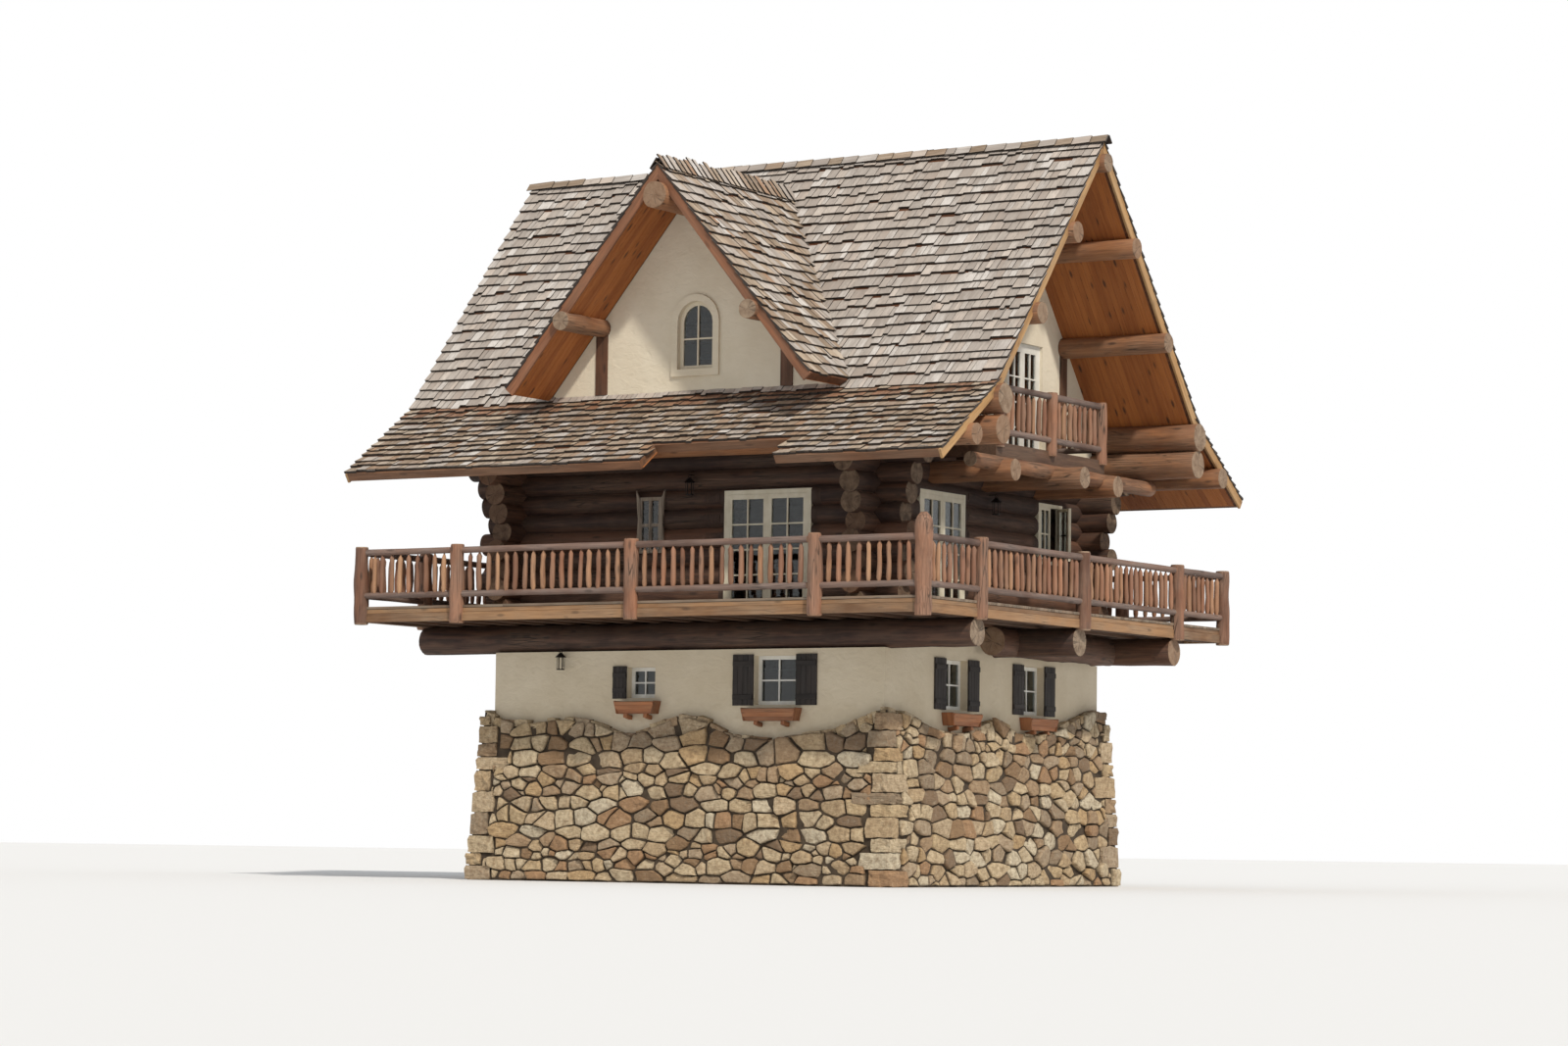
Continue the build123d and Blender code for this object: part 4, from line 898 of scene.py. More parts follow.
def course(copies, side_turn, run, z, steepness, exposure, ends, skip, kinds, room=9.0):
    (along, high), slide = ends, 0.0
    while along < high - 0.02:
        width = min(rng.choice(SHAKE_WIDTHS) * rng.uniform(0.9, 1.1), high - along)
        middle = along + width / 2
        if rng.random() < 0.6:
            slide = rng.choice(SLIDES) * exposure
        if not skip(middle, run - exposure * 0.5 * cos(steepness)):
            place = slope_place(side_turn, middle, run - slide * cos(steepness),
                                z + slide * sin(steepness), steepness)
            place = place @ turn(jitter(0.02), "Z") @ shift(0, 0, jitter(0.003))
            gap = rng.uniform(0.005, 0.011)
            size = (min(exposure * OVERLAP, room - slide), width - gap, 1)
            kind = rng.choice(kinds)
            put(copies, kind, place, size, min(1, max(0, rng.gauss(0.5, 0.26))))
        along += width


# %% Covering the main roof
FLARE_LENGTH = sqrt((EAVE_RUN - KINK_RUN) ** 2 + (KINK_Z - EAVE_Z) ** 2)
STEEP_LENGTH = sqrt(KINK_RUN ** 2 + (RIDGE_Z - KINK_Z) ** 2)
FLARE_COURSES, STEEP_COURSES, DORMER_COURSES = 12, 24, 20
ENDS = (-VERGE_X, VERGE_X)


def steep_rows(copies, side_turn, courses, length, run, z, ends, skip, kinds):
    exposure = length / courses
    for index in range(courses):
        up = index * exposure
        course(copies, side_turn, run - up * cos(STEEP), z + up * sin(STEEP), STEEP, exposure,
               ends, skip, kinds, length - up)


def cover_roof(name, node, front):
    flare_part, steep_part = [], []
    turn_by = 0 if front else 180

    def in_notch(along, run):
        return front and NOTCH_LOW < along < NOTCH_HIGH and run > NOTCH_RUN - 0.02

    def in_dormer(along, run):
        height = roof_z(max(0, run))
        return front and run < DORMER_WALL_Y - 0.03 and height < dormer_z(along) - 0.3

    # The first course is doubled, with a short row under it.
    exposure = FLARE_LENGTH / FLARE_COURSES
    for index in range(-1, FLARE_COURSES):
        up = max(0, index) * exposure + 0.04
        run, z = EAVE_RUN - up * cos(FLARE), EAVE_Z + up * sin(FLARE)
        kinds = (RED, RED, TAN) if index > FLARE_COURSES - 3 else (TAN, TAN, SILVER)
        shown = exposure * (1 if index >= 0 else 0.6)
        course(flare_part, turn_by, run, z, FLARE, shown, ENDS, in_notch, kinds)
    steep_rows(steep_part, turn_by, STEEP_COURSES, STEEP_LENGTH, KINK_RUN, KINK_Z, ENDS,
               in_dormer, (SILVER,))
    low = lay_out(name + "_flare", flare_part, SHAKE_FINISHES)
    lay_out(name + "_steep", steep_part, SHAKE_FINISHES)
    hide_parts(node)
    print(name, len(flare_part) + len(steep_part), "shakes")


cover_roof("shakes_front", "roof_shakes_front", True)
cover_roof("shakes_back", "roof_shakes_back", False)

# %% [markdown]
# ## Dormer shakes and ridge combs
#
# The dormer's two slopes die into the main roof in a valley, so only shakes that are outside the
# main roof are laid. Along both ridges the top shakes lap over each other like a comb.

# %% Covering the dormer
dormer_shakes = []
for turn_by, ends in ((90, (-DORMER_FRONT, 0)), (-90, (0, DORMER_FRONT))):

    def inside_roof(along, run):
        y = along if turn_by == 90 else -along
        return roof_z(-y) > dormer_z(run) + 0.25

    steep_rows(dormer_shakes, turn_by, DORMER_COURSES, DORMER_FOOT / cos(STEEP), DORMER_FOOT,
               dormer_z(DORMER_FOOT), ends, inside_roof, (SILVER, TAN))
dormer_cover = lay_out("shakes_dormer", dormer_shakes, SHAKE_FINISHES)
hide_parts("dormer_shakes")

# %% Ridge caps
for point in slab():
    point.co.z = 0.0 if point.co.z < 0 else 0.012 if point.co.x < 0.5 else 0.028
CAP = keep_form()


def clear_of_deck(corners):
    return min(z for x, y, z in corners) > 0.01


# Faces of a cap that lie on the roof, its underside and sides, take slot 3, the near-black painted
# shade.
GREY_CAP, BLADE = in_finish(CAP, 0, clear_of_deck), in_finish(CAP, 1, clear_of_deck)
main_caps = []
for side in (-1, 1):
    at, high = -VERGE_X - 0.085, VERGE_X + 0.085
    while at < high - 0.05:
        reach = min(rng.uniform(0.5, 0.66), high - at)
        place = shift(at, 0, RIDGE_Z) @ turn(-side * STEEP, "X")
        place = place @ shift(0, side * 0.087, 0.001) @ turn(-0.022, "Y")
        place = place @ turn(jitter(0.01), "Z")
        form = rng.choice((GREY_CAP, GREY_CAP, BLADE))
        put(main_caps, form, place, (reach, 0.17 + jitter(0.014), 1))
        at += reach * rng.uniform(0.52, 0.66)
ridge = lay_out("ridge_caps", main_caps, SHAKE_FINISHES)
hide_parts("ridge_cap")

# %% The dormer's comb
COMB = 0.24
dormer_comb = []
y = -DORMER_FRONT
while y < -0.62:
    width = rng.uniform(0.15, 0.24)
    over = rng.uniform(0.08, 0.22) * min(1, 0.5 + (y + DORMER_FRONT) / 2)
    run, z = COMB * cos(STEEP), DORMER_Z - COMB * sin(STEEP)
    place = slope_place(90, y + width / 2, run, z, STEEP)
    place = place @ shift(0, 0, 0.012) @ turn(0.1, "X")
    put(dormer_comb, rng.choice((GREY_CAP, BLADE)), place, (COMB + over, width - 0.03, 1))
    place = slope_place(-90, -y - width / 2, run, z, STEEP) @ shift(0, 0, 0.012)
    put(dormer_comb, BLADE, place, (0.235, width - 0.012, 1))
    y += width
lay_out("dormer_comb", dormer_comb, SHAKE_FINISHES)

# %% [markdown]
# ## Boards: soffit, barge boards and rims
#
# One board form serves them all: a long box with its four long edges bevelled. Under the roof,
# narrow boards run up the slope with a small groove at each joint. The barge boards are mitred at
# the ridge and at the bend: each is laid too long and then bisected with the plane of the mitre.

# %% The board
def board_form(width, thickness, chamfer):
    slab(0.0, width, thickness)
    pick(lengthwise, "EDGE")
    bpy.ops.mesh.bevel(offset=chamfer, segments=1)
    return keep_form()


def board_run(copies, form, start, end, up, shade=None):
    length = (Vector(end) - Vector(start)).length
    put(copies, form, aim(start, end, up), (length, 1, 1), shade)


def beneath(run, z, slope, depth):
    return run - depth * sin(slope), z - depth * cos(slope)


def outward(side, slope):
    return 0, side * sin(slope), cos(slope)


# %% Soffit boards
SOFFIT_BOARD = board_form(0.118, 0.022, 0.007)
SOFFIT_STEP, SOFFIT_X, SOFFIT_DEPTH = 0.12, 6.27, 0.198
soffit_boards = []
run_b, z_b = beneath(KINK_RUN, KINK_Z, BEND, SOFFIT_DEPTH)
for side in (-1, 1):
    x = -SOFFIT_X + SOFFIT_STEP / 2
    while x < SOFFIT_X - 0.05:
        in_notch = side < 0 and NOTCH_LOW - 0.03 < x < NOTCH_HIGH + 0.03
        run = (NOTCH_RUN if in_notch else EAVE_RUN) - 0.05
        run_a, z_a = beneath(run, roof_z(run), FLARE, SOFFIT_DEPTH)
        low, bend = (x, side * run_a, z_a), (x, side * run_b, z_b - 0.003)
        board_run(soffit_boards, SOFFIT_BOARD, low, bend, outward(side, FLARE))
        if abs(x) >= GABLE_X - 0.1:
            top = (x, 0.0, RIDGE_Z - SOFFIT_DEPTH / cos(STEEP))
            board_run(soffit_boards, SOFFIT_BOARD, bend, top, outward(side, STEEP))
        x += SOFFIT_STEP
run_d, z_d = beneath(DORMER_FOOT, dormer_z(DORMER_FOOT), STEEP, SOFFIT_DEPTH)
for side in (-1, 1):
    y = -DORMER_FRONT + 0.13
    while y < -DORMER_WALL_Y - 0.02:
        foot, top = (side * run_d, y, z_d), (0, y, DORMER_Z - SOFFIT_DEPTH / cos(STEEP))
        board_run(soffit_boards, SOFFIT_BOARD, foot, top, (side * sin(STEEP), 0, cos(STEEP)))
        y += SOFFIT_STEP
lay_out("soffit_boards", soffit_boards, [soffit])


# %% Barge boards
BARGE_X, BARGE_DEPTH, PAST_RIDGE, PAST_BEND = 6.305, 0.14, 0.1, 0.15


def barge(start, end, up, finish_used, cuts, width=0.18):
    board = []
    board_run(board, board_form(0.05, width, 0.006), start, end, up, rng.uniform(0.3, 0.7))
    piece = lay_out("barge", board, [finish_used])
    for point, away in cuts:
        select(piece)
        edit("FACE", "SELECT")
        bpy.ops.mesh.bisect(plane_co=point, plane_no=away, use_fill=True, clear_outer=True)
    select()
    return piece


barges = []
run_b, z_b = beneath(KINK_RUN, KINK_Z, BEND, BARGE_DEPTH)
run_e, z_e = beneath(EAVE_RUN, roof_z(EAVE_RUN), FLARE, BARGE_DEPTH)
run_d, z_d = beneath(DORMER_FOOT, dormer_z(DORMER_FOOT), STEEP, BARGE_DEPTH)
top_rise = PAST_RIDGE * tan(STEEP) - BARGE_DEPTH / cos(STEEP)
for x in (-BARGE_X, BARGE_X):
    for side in (-1, 1):
        joint, mitre = (x, side * run_b, z_b), Vector((0, side * cos(BEND), -sin(BEND)))
        low = (x, side * (run_b + PAST_BEND * cos(STEEP)), z_b - PAST_BEND * sin(STEEP))
        top = (x, -side * PAST_RIDGE, RIDGE_Z + top_rise)
        cuts = [((x, 0, 0), (0, -side, 0)), (joint, mitre)]
        barges.append(barge(low, top, outward(side, STEEP), barge_gold, cuts))
        eave = (x, side * run_e, z_e)
        high = (x, side * (run_b - PAST_BEND * cos(FLARE)), z_b + PAST_BEND * sin(FLARE))
        barges.append(barge(eave, high, outward(side, FLARE), barge_gold, [(joint, -mitre)]))
# The dormer's barge boards use the darkened copy of the golden boards: painted shade.
y = -DORMER_FRONT + 0.045
for side in (-1, 1):
    foot, top = (side * run_d, y, z_d), (-side * PAST_RIDGE, y, DORMER_Z + top_rise)
    up, cuts = (side * sin(STEEP), 0, cos(STEEP)), [((0, y, 0), (-side, 0, 0))]
    barges.append(barge(foot, top, up, shaded_barge_boards, cuts, 0.2))
barge_boards = joined("barge_boards", barges)
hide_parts("bargeboards")
print("barge boards:", len(barge_boards.data.polygons), "faces")

# %% [markdown]
# ## Logs
#
# A log is turned from a cylinder: rings are cut along it, its ends are chamfered, and then every
# point is pushed a little, so that the log bows, swells and narrows like a peeled trunk. A few
# lengths are modelled once; each log of the house is a stretched copy. Where a door or a window
# stands, a box is cut out of the log with a boolean.

# %% Turning the logs
def log_form(length, sides, rings, seed, bow=0.012, swell=0.02, knot=0.03, chamfer=0.03):
    rod(sides, rings - 1)
    pick(lambda mesh, face: abs(face.normal.x) > 0.9)
    bpy.ops.mesh.inset(thickness=chamfer)
    bpy.ops.mesh.inset(thickness=0.5)
    bpy.ops.object.mode_set(mode="OBJECT")
    mesh = bpy.context.active_object.data
    for face in mesh.polygons:
        face.material_index = 1 if abs(face.normal.x) > 0.9 else 0
    for point in mesh.vertices:
        spread = sqrt(point.co.y ** 2 + point.co.z ** 2)
        if spread > 1 - chamfer / 2 and (point.co.x < 0.001 or point.co.x > 0.999):
            point.co.x += (0.5 - point.co.x) * chamfer * 0.6 / length
        at = Vector((point.co.x * length, 0, seed * 7.7))
        skin = Vector((at.x * 2.2, point.co.y * 1.2, point.co.z * 1.2 + seed))
        sway = noise.noise_vector(at * 0.35) * bow / 0.2
        grow = 1 + noise.noise(at * 0.8 + Vector((0, 3, 0))) * swell * 2
        lump = noise.noise(skin) * knot * 2
        point.co.y = point.co.y * (grow + lump) + sway.y
        point.co.z = point.co.z * (grow + lump) + sway.z
    return keep_form()


LONG_LOGS = [log_form(12.0, 20, 26, seed) for seed in range(4)]
SHORT_LOGS = [log_form(2.5, 20, 7, seed + 10) for seed in range(4)]


def log_copy(start, end, radius):
    length = (Vector(end) - Vector(start)).length
    form = rng.choice(LONG_LOGS if length > 4 else SHORT_LOGS)
    place = aim(start, end) @ turn(rng.uniform(0, 2 * pi), "X")
    return form, place, (length, radius, radius), rng.random()


def with_openings(piece, openings):
    for low, high in openings:
        select()
        bpy.ops.mesh.primitive_cube_add(size=1, location=(Vector(low) + Vector(high)) / 2)
        bpy.ops.transform.resize(value=Vector(high) - Vector(low))
        cutter = bpy.context.active_object
        select(piece)
        cut = piece.modifiers.new("cut", "BOOLEAN")
        cut.operation, cut.object, cut.solver = "DIFFERENCE", cutter, "MANIFOLD"
        bpy.ops.object.modifier_apply(modifier="cut")
        bpy.data.objects.remove(cutter, do_unlink=True)


print("log forms:", len(LONG_LOGS), "long and", len(SHORT_LOGS), "short")

# %% [markdown]
# ## Log walls
#
# The courses of two walls are half a log apart, so each log beds into the notches of the ones
# that cross it. The tails that stick out at the corners are uneven, and the top ones step out
# further and further to carry the roof.

# %% Building the log walls
CASING = 0.09
WINDOW = (-0.48, 0.48, 6.05, 7.20)
OPENINGS = {
    "front": [(0.79, 2.62, 4.99, 7.06)], "left": [WINDOW], "back": [WINDOW],
    "right": [(-2.53, -0.85, 4.99, 7.12), (1.97, 2.93, 6.05, 7.20)],
}


def tail(index, stagger):
    stagger = stagger - 0.03 if index < 6 else 0
    return 0.64 + max(0.15 * (index % 2), 0.23 * max(0, index - 5)) + stagger


def cut_boxes(wall, face, z):
    for low, high, bottom, head in OPENINGS[wall]:
        for edge, behind in ((0.0, 0.5), (CASING, -0.195)):
            if bottom - edge < z + LOG_R and head + edge > z - LOG_R:
                near = turned(wall) @ Vector((low - edge, -face - 0.5, bottom - edge))
                far = turned(wall) @ Vector((high + edge, -face + behind, head + edge))
                pairs = list(zip(near, far))
                yield [min(pair) for pair in pairs], [max(pair) for pair in pairs]


def log_wall(wall):
    long_wall = wall in ("front", "back")
    half, face = half_and_face(wall, WALL_X, WALL_Y)
    logs = []
    for index in range(8 if long_wall else 9):
        z = DECK_Z + (index + (0.5 if long_wall else 0)) * COURSE
        left = half + tail(index, rng.uniform(0, 0.05))
        right = half + tail(index, rng.uniform(0, 0.05))
        start = turned(wall) @ Vector((-left, -face, z))
        end = turned(wall) @ Vector((right, -face, z))
        copies = [log_copy(start, end, LOG_R)]
        # Wall logs take the dark oiled colour with painted shade, and ends painted in shade.
        piece = lay_out("log", copies, [oiled_logs_in_shade, shaded_log_ends])
        boxes = list(cut_boxes(wall, face, z))
        if not long_wall and index == 0:
            boxes.append(((-9, -9, 4.5), (9, 9, DECK_Z + 0.001)))
        with_openings(piece, boxes)
        logs.append(piece)
    walls = joined("logs_" + wall, logs)
    finish(walls, 40)
    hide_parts("log_wall_" + wall)


for wall in WALLS:
    log_wall(wall)

# %% [markdown]
# ## Logs that carry the floors and the roof
#
# Three cross logs and short outriggers carry the deck, doubled plates lie on the log walls, and
# purlins run from gable to gable and show their cut ends past the barge boards.

# %% Laying the carrying logs
DECK_LOG_X, DECK_LOG_Z, OUTRIGGER_X, THICK = 5.92, 4.45, 4.55, 0.262
PURLIN_X, BED, ROOF_DEPTH, PLATE_STEP = 6.44, 0.003, 0.2, 0.52


def purlin_z(run, radius, bury):
    return roof_z(run, ROOF_DEPTH) - (radius - bury) / cos(STEEP if run < KINK_RUN else FLARE)


def along_x(reach, y, z, radius, reach_right=None):
    return log_copy((-reach, y, z), (reach_right or reach, y, z), radius)


deck_logs = [along_x(DECK_LOG_X, y, DECK_LOG_Z, THICK) for y in (-WALL_Y, 0, WALL_Y)]
for x in (-OUTRIGGER_X, OUTRIGGER_X):
    deck_logs.append(log_copy((x, -0.8, DECK_LOG_Z), (x, WALL_Y, DECK_LOG_Z), THICK))
deck_carriers = lay_out("deck_carriers", deck_logs, [oiled_logs_in_shade, log_end], 40)
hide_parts("deck_logs")

roof_logs = []
plate_z = purlin_z(WALL_Y, 0.265, 0.128)
for side in (-1, 1):
    roof_logs.append(along_x(PURLIN_X, side * WALL_Y, plate_z, THICK))
    roof_logs.append(along_x(6.42, side * WALL_Y, plate_z - PLATE_STEP, THICK, 6.40))
    for run, radius, bury in ((1.17, 0.195, 0.075), (2.5, 0.195, 0.075), (4.85, 0.195, 0.02)):
        z = purlin_z(run, radius, bury)
        roof_logs.append(along_x(PURLIN_X, side * run, z, radius - BED))
roof_logs.append(along_x(PURLIN_X, 0, purlin_z(0, 0.175, 0.06), 0.172))
DORMER_LOGS = ((0, 0.25, 0.025, 1.3), (-2.0, 0.175, 0.11, 3.3), (2.0, 0.175, 0.11, 3.3))
for x, radius, bury, back in DORMER_LOGS:
    z = dormer_z(x, ROOF_DEPTH) - (radius - bury) / cos(STEEP)
    roof_logs.append(log_copy((x, -5.29, z), (x, -back, z), radius - BED))
carried = lay_out("roof_logs", roof_logs, [roof_log, log_end], 40)
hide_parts("purlins", "plate_logs", "dormer_logs")

BALCONY_X, BALCONY_Y, BEAM_Z, CANTILEVER_Z = 5.3, (-2.0, 0, 2.0), 7.56, 7.445
balcony_logs = []
for y in BALCONY_Y:
    reach = BALCONY_X + (0.7 if y == 0 else 0.35)
    balcony_logs.append(log_copy((3.45, y, CANTILEVER_Z), (reach, y, CANTILEVER_Z), 0.198))
balcony_logs.append(log_copy((BALCONY_X, -3.05, BEAM_Z), (BALCONY_X, 4.0, BEAM_Z), 0.138))
balcony_carriers = lay_out("balcony_carriers", balcony_logs, [roof_log, log_end], 40)
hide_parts("balcony_logs")

# %% [markdown]
# ## Deck
#
# Planks run along the house on the joists, with their joints over a joist. Rim boards close the
# edge. The posts are knotty trunks that lap down over the rim, cut flat on top. Only the one at
# the front right corner is thick and tall, with a rounded top.

# %% Planks and rims
PLANK_BOARD = board_form(0.138, 0.046, 0.006)
PLANK_STEP, PLANK_Z, GAP = 0.1442, DECK_Z - 0.025, 0.002
UP = (0, 0, 1)
planks, rims = [], []
y = -DECK_Y + PLANK_STEP / 2 - 0.0001
while y < DECK_Y:
    broken = abs(y) < WALL_Y
    for low, high in ((-DECK_X, -WALL_X), (WALL_X, DECK_X)) if broken else ((-DECK_X, DECK_X),):
        x = low
        while x < high - 0.01:
            length = high - x
            if length >= 4.5:
                length = min(rng.choice((2.56, 3.2, 3.84)) + rng.choice((0, 0.64)), length)
            start, end = (x + GAP, y, PLANK_Z), (x + length - GAP, y, PLANK_Z)
            board_run(planks, PLANK_BOARD, start, end, UP)
            x += length
    y += PLANK_STEP
deck_boards = lay_out("deck_boards", planks, [plank])
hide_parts("deck_planks")

LOW_RIM, HIGH_RIM = board_form(0.05, 0.158, 0.006), board_form(0.04, 0.078, 0.005)
STATIONS_X = (-DECK_X, -WALL_X, 0, WALL_X, DECK_X)
STATIONS_Y = (-DECK_Y, -WALL_Y, 0, WALL_Y, DECK_Y)
BAYS_X = list(zip(STATIONS_X, STATIONS_X[1:]))
BAYS_Y = list(zip(STATIONS_Y, STATIONS_Y[1:]))
for form, z, inset in ((LOW_RIM, 4.78, 0.025), (HIGH_RIM, 4.9, 0.034)):
    for side in (-1, 1):
        y, x = side * (DECK_Y - inset), side * (DECK_X - inset)
        for low, high in BAYS_X:
            board_run(rims, form, (low + 0.01, y, z), (high - 0.01, y, z), UP)
        for low, high in BAYS_Y:
            board_run(rims, form, (x, low + 0.06, z), (x, high - 0.06, z), UP)
rim_boards = lay_out("rim_boards", rims, [rim_board])
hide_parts("deck_rim")

# %% Forms of posts, rails and sticks
POSTS = [log_form(1.5, 14, 14, seed + 30, 0.01, 0.06, 0.11, 0.08) for seed in range(6)]
RAILS = [log_form(2.2, 10, 7, seed + 40, 0.02, 0.05, 0.05, 0.1) for seed in range(3)]


def corner_form():
    rod(16, 23)
    bpy.ops.object.mode_set(mode="OBJECT")
    for point in bpy.context.active_object.data.vertices:
        x, y, z = point.co
        dome = max(0, (x - 0.86) / 0.14)
        lump = noise.noise(Vector((x * 7, y, z + 5))) * 0.16
        lump = (lump + noise.noise(Vector((x * 19, y * 2, z * 2 + 9))) * 0.09) * (1 - dome)
        head = min(1, max(0, (x - 0.7) / 0.09))
        girth = 0.95 - 0.04 * x + 0.13 * head + lump * (1 - 0.6 * head)
        girth *= 1 - 0.66 * dome ** 2.6
        point.co.y *= girth
        point.co.z *= girth
    return keep_form()


def stick_form(seed):
    rod(7, 3)
    for way, tip, thin in ((1, 0.11, 0.22), (-1, 0.14, 0.45)):
        pick(lambda mesh, face: face.normal.x * way > 0.9)
        bpy.ops.transform.translate(value=(-way * tip, 0, 0))
        bpy.ops.mesh.extrude_region_move(TRANSFORM_OT_translate={"value": (way * tip, 0, 0)})
        bpy.ops.transform.resize(value=(1, thin, thin))
    bpy.ops.object.mode_set(mode="OBJECT")
    for point in bpy.context.active_object.data.vertices:
        x = point.co.x
        sway = noise.noise_vector(Vector((x * 2.4, seed * 5.1, 0))) * 0.3
        grow = 1.05 - 0.15 * x + noise.noise(Vector((x * 5, seed, 2))) * 0.2
        point.co.y = point.co.y * grow + sway.y
        point.co.z = point.co.z * grow + sway.z
    return keep_form()


CORNER_POST = corner_form()
STICKS = [stick_form(seed) for seed in range(7)]
print("corner post:", len(CORNER_POST["faces"]), "faces, stick:", len(STICKS[0]["faces"]))

# %% Building the railings
DECK_RAILS, BALCONY_RAILS, POST_GAP, STICK_STEP = (5.19, 5.99), (8.15, 8.95), 0.09, 0.205
posts, rails, sticks = [], [], []


def upright(x, y, low, high):
    return aim((x, y, low), (x, y, high)) @ turn(rng.uniform(0, 2 * pi), "X")


def bay(start, end, low_z, high_z):
    start, run = Vector(start), Vector(end) - Vector(start)
    for z, radius in ((low_z, 0.057), (high_z, 0.06)):
        rise = Vector((0, 0, z))
        place = aim(start + rise, Vector(end) + rise) @ turn(rng.uniform(0, 6.28), "X")
        put(rails, rng.choice(RAILS), place, (run.length, radius, radius))
    count = max(1, round(run.length / STICK_STEP) - 1)
    for index in range(count):
        at = start + run * ((index + 1) / (count + 1)) + Vector((jitter(0.012), jitter(0.012), 0))
        radius = rng.uniform(0.042, 0.052)
        top = high_z - rng.uniform(0.035, 0.06)
        place = aim(at + Vector((0, 0, low_z)), at + Vector((jitter(0.01), jitter(0.01), top)))
        place = place @ turn(rng.uniform(0, 6.28), "X")
        put(sticks, rng.choice(STICKS), place, (top - low_z, radius, radius))


for x in STATIONS_X:
    for y in STATIONS_Y:
        if x == DECK_X and y == -DECK_Y:
            place = upright(x - 0.025, y + 0.025, 4.64, 6.4)
            put(posts, CORNER_POST, place, (1.76, 0.155, 0.155))
        elif abs(x) == DECK_X or abs(y) == DECK_Y:
            form, inward = rng.choice(POSTS), 0.02 if y == DECK_Y else 0.0
            put(posts, form, upright(x, y - inward, 4.66, 6.095), (1.435, 0.128, 0.128))
for side in (-1, 1):
    x, y = side * DECK_X, side * DECK_Y
    for low, high in BAYS_X:
        bay((low + POST_GAP, y, 0), (high - POST_GAP, y, 0), *DECK_RAILS)
    for low, high in BAYS_Y:
        bay((x, low + POST_GAP, 0), (x, high - POST_GAP, 0), *DECK_RAILS)
for y in BALCONY_Y:
    form = rng.choice(POSTS)
    put(posts, form, upright(BALCONY_X, y, 7.86, 9.03), (1.17, 0.102, 0.102))
for low, high in ((-1.9, -POST_GAP), (POST_GAP, 1.9)):
    bay((BALCONY_X, low, 0), (BALCONY_X, high, 0), *BALCONY_RAILS)
for y in (-2.0, 2.0):
    bay((GABLE_X, y, 0), (5.22, y, 0), *BALCONY_RAILS)
deck_posts = lay_out("posts", posts, [post_pole, post_end], 50)
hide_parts("deck_posts")
railing_rails = lay_out("rails", rails, [rail_pole, post_end], 60)
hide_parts("railing_front", "railing_back", "railing_left", "railing_right", "balcony_railing")
lay_out("sticks", sticks, [stick], 60)

# %% [markdown]
# ## Shutters, flower boxes and lanterns
#
# The lower windows have shutters of dark upright boards and boxes of tan boards on two brackets.
# Three small iron lanterns hang on the walls.

# %% Shutters and flower boxes
SLAT, SLAT_WIDTH, LEAF_SLATS = board_form(0.1, 0.028, 0.004), 0.102, 4
LOWER_WINDOWS = [("front", 1.925, 3.20, 0.87, 0.88), ("front", -0.93, 3.34, 0.60, 0.56)]
for wall, along in (("right", 1.465), ("back", 1.475), ("left", 1.475)):
    LOWER_WINDOWS += [(wall, -along, 3.18, 0.81, 0.90), (wall, 1.475, 3.18, 0.81, 0.90)]
shutters, boxes = [], []


def hang_shutters(at, out, along, sill, width, height):
    leaf = width / 2
    for side in ((-1,) if width < 0.7 else (-1, 1)):
        middle = along + side * (width / 2 + leaf / 2 + 0.01)
        for index in range(LEAF_SLATS):
            x = middle - leaf / 2 + (index + 0.5) * leaf / LEAF_SLATS
            low, high = at(x, 0.018, sill - 0.01), at(x, 0.018, sill + height + 0.02)
            size = ((high - low).length, leaf / LEAF_SLATS / SLAT_WIDTH, 1)
            put(shutters, SLAT, aim(low, high, out), size)
        for z in (sill + 0.14, sill + height - 0.14):
            low, high = at(middle - leaf / 2 + 0.01, 0.04, z), at(middle + leaf / 2 - 0.01, 0.04, z)
            put(shutters, SLAT, aim(low, high, out), ((high - low).length, 0.9, 0.7))


def hang_box(at, spin, along, sill, width):
    half = width / 2 + 0.13
    foot = half - 0.055
    top, low = sill - 0.06, sill - 0.29
    leaning = spin @ Vector((0, -0.95, -0.28))
    for out, z in ((0.25, top - 0.05), (0.235, top - 0.115), (0.21, low + 0.05)):
        reach = foot + (half - foot) * (z - low) / (top - low)
        place = aim(at(along - reach, out, z), at(along + reach, out, z), leaning)
        put(boxes, SLAT, place, (2 * reach, 0.8, 0.9))
    for side in (-1, 1):
        a, b = at(along + side * foot, 0.125, low), at(along + side * half, 0.125, top)
        put(boxes, SLAT, aim(a, b, spin @ Vector((1, 0, 0))), ((b - a).length, 2.4, 0.8))
    place = aim(at(along - foot, 0.11, low + 0.012), at(along + foot, 0.11, low + 0.012))
    put(boxes, SLAT, place, (2 * foot, 2.0, 0.9))
    for x in (along - half / 2, along + half / 2):
        place = aim(at(x, 0.01, low - 0.07), at(x, 0.2, low - 0.03))
        put(boxes, SLAT, place, (0.19, 0.75, 2.6))


for wall, along, sill, width, height in LOWER_WINDOWS:
    spin, face = turned(wall), half_and_face(wall, STUCCO_X, STUCCO_Y)[1]

    def at(x, out, z):
        return spin @ Vector((x, -face - out, z))

    hang_shutters(at, spin @ Vector((0, -1, 0)), along, sill, width, height)
    if wall in ("front", "right"):
        hang_box(at, spin, along, sill, width)
shutter_boards = lay_out("shutter_boards", shutters, [shutter_wood])
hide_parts("shutters")
box_boards = lay_out("flower_box_boards", boxes, [box_wood])
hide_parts("flower_boxes")


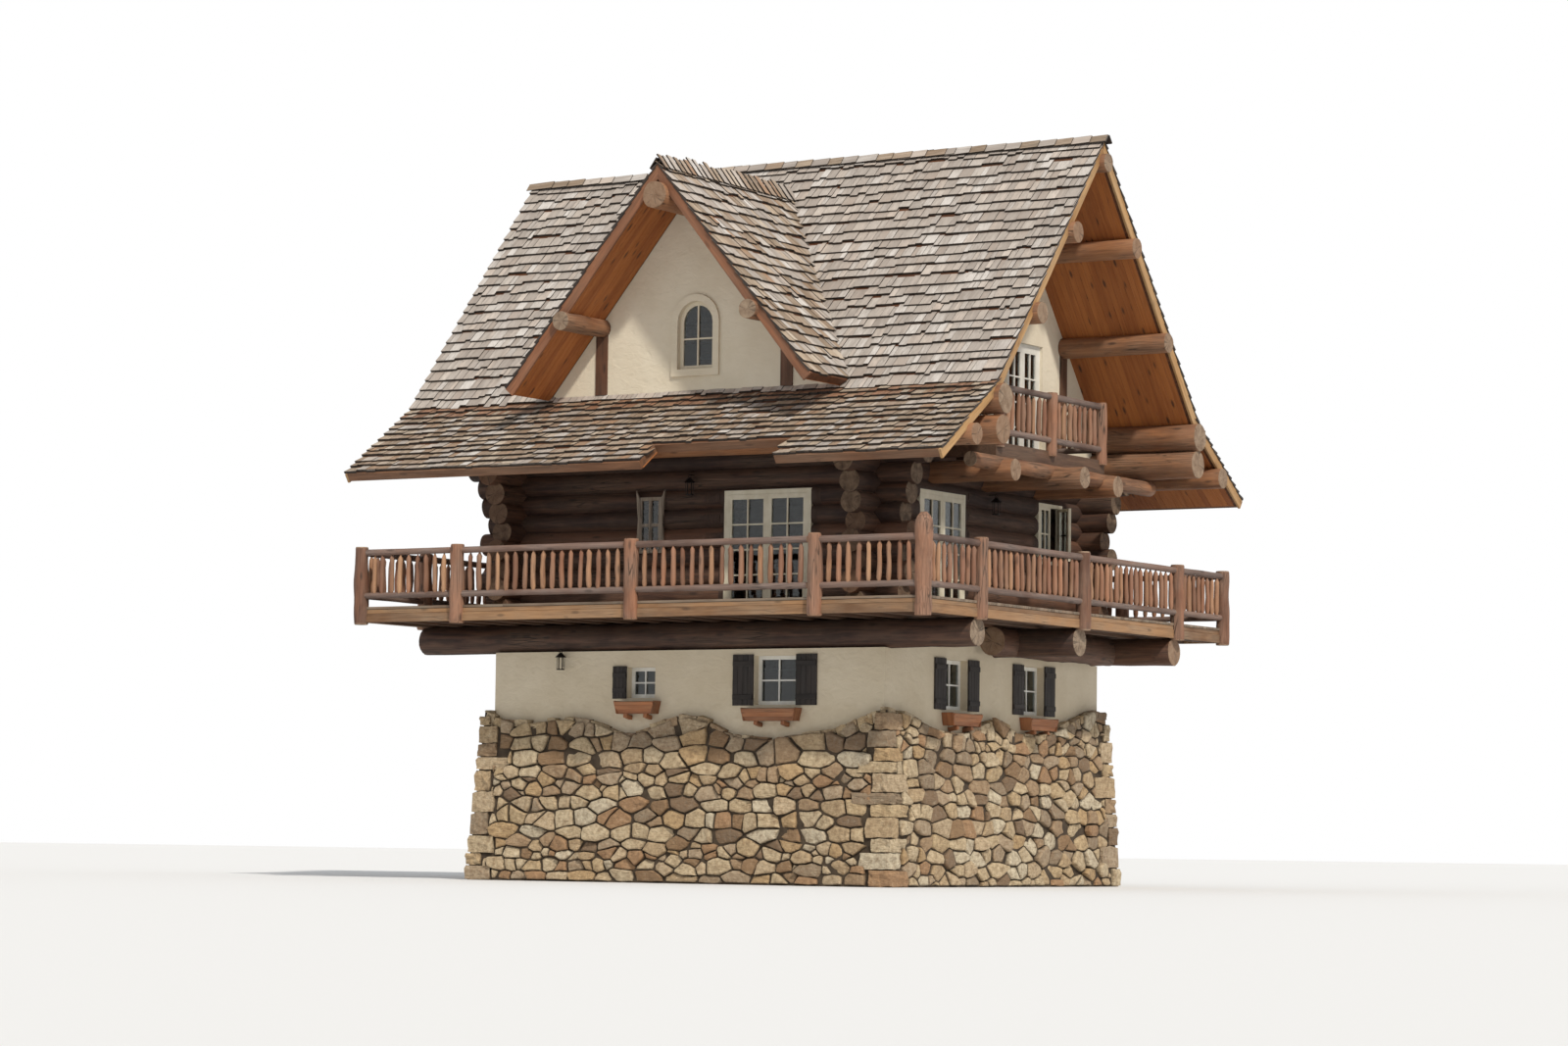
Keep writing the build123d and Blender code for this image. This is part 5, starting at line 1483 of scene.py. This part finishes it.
# %% Lanterns
def lantern_form():
    parts = []

    def made(operator, **settings):
        operator(**settings)
        parts.append(bpy.context.active_object)

    mesh = bpy.ops.mesh
    select()
    made(mesh.primitive_cylinder_add, vertices=6, radius=0.075, depth=0.02, location=(0, 0, -0.27))
    made(mesh.primitive_cone_add, vertices=6, radius1=0.105, radius2=0.02, depth=0.09,
         location=(0, 0, -0.005))
    made(mesh.primitive_torus_add, major_radius=0.03, minor_radius=0.006, major_segments=12,
         minor_segments=6, rotation=(pi / 2, 0, 0), location=(0, 0, 0.06))
    for index in range(6):
        angle = index * pi / 3 + pi / 6
        foot = (0.068 * cos(angle), 0.068 * sin(angle), -0.155)
        made(mesh.primitive_cube_add, size=1, location=foot, rotation=(0, 0, angle))
        bpy.ops.transform.resize(value=(0.009, 0.009, 0.22))
    base, cap, *others = parts
    joined("lantern", [cap, base, *others])
    bpy.ops.object.transform_apply(location=True, rotation=True, scale=True)
    return keep_form()


LANTERN = lantern_form()
ARM = board_form(0.016, 0.016, 0.004)
LANTERN_SPOTS = (
    ("front", -2.62, STUCCO_Y, 4.14), ("front", 0.14, WALL_Y + LOG_R, 7.27),
    ("right", 0.02, WALL_X + LOG_R, 7.10),
)
lanterns = []
for wall, along, face, z in LANTERN_SPOTS:
    at = turned(wall) @ Vector((along, -face - 0.14, z))
    put(lanterns, LANTERN, shift(*at), (1, 1, 1), 0.5)
    root = turned(wall) @ Vector((along, -face + 0.02, z + 0.09))
    put(lanterns, ARM, aim(root, at + Vector((0, 0, 0.09))), (0.17, 1, 1), 0.5)
wall_lanterns = lay_out("wall_lanterns", lanterns, [iron], 35)
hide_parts("lanterns")

# %% [markdown]
# ## Floor, light and camera
#
# The floor is plain and pale. One broad sun from the front right gives the shape, and a pale
# sky fills the shadows. The camera stands where the long lens of the picture stood: far off, less
# than a metre up, and about a third of a right angle round from the front to the right.

# %% Stage
select()
bpy.ops.mesh.primitive_plane_add(size=400, location=(0, 0, -0.002))
ground = bpy.context.active_object
ground.name = "ground"
pale, n = new_material("Pale floor")
floor_values = {"Base Color": (0.8, 0.8, 0.8, 1), "Roughness": 0.9}
n.feed(n.tree.nodes["Principled BSDF"].inputs, floor_values)
ground.data.materials.append(pale)

world = bpy.data.worlds.new("Studio")
bpy.context.scene.world = world
world.use_nodes = True
n = Nodes(world.node_tree)
rays = n.add("LightPath").outputs
seen = n.calc("MAXIMUM", rays["Is Glossy Ray"], rays["Is Transmission Ray"])
seen = n.calc("MAXIMUM", rays["Is Camera Ray"], seen)
sky = n.add("Background", {"Color": (0.94, 0.97, 1.0, 1), "Strength": 0.5}).outputs[0]
white = n.add("Background", {"Color": (1, 1, 1, 1), "Strength": 1.0}).outputs[0]
either = n.add("MixShader", {0: seen, 1: sky, 2: white}).outputs[0]
n.feed(n.tree.nodes["World Output"].inputs, {0: either})

lamp = bpy.data.lights.new("Sun", "SUN")
lamp.energy = 2.9
lamp.color = (1.0, 0.95, 0.87)
lamp.angle = radians(3)
sun = bpy.data.objects.new("Sun", lamp)
bpy.context.collection.objects.link(sun)
sun.rotation_euler = Vector((-0.62, 0.47, -0.72)).to_track_quat("-Z", "Y").to_euler()
print("lit by", sun.name, "and", world.name)

# %% Camera
PHOTO_WIDTH, FOCAL_LENGTH = 1600, 4345.33
lens = bpy.data.cameras.new("Camera")
lens.sensor_width = 36.0
lens.lens = 36.0 * FOCAL_LENGTH / PHOTO_WIDTH
lens.clip_end = 500
camera = bpy.data.objects.new("Camera", lens)
bpy.context.collection.objects.link(camera)
forward = Vector((-0.5222, 0.8495, 0.0750)).normalized()
right = Vector((0.8524, 0.5228, 0.0129)).normalized()
over = right.cross(forward).normalized()
right = forward.cross(over).normalized()
stand = Matrix((right, over, -forward)).transposed().to_4x4()
stand.translation = Vector((41.77, -68.635, 0.74))
camera.matrix_world = stand
bpy.context.scene.camera = camera
bpy.context.scene.view_settings.view_transform = "Standard"
print("lens", round(lens.lens, 1), "mm at", stand.translation)
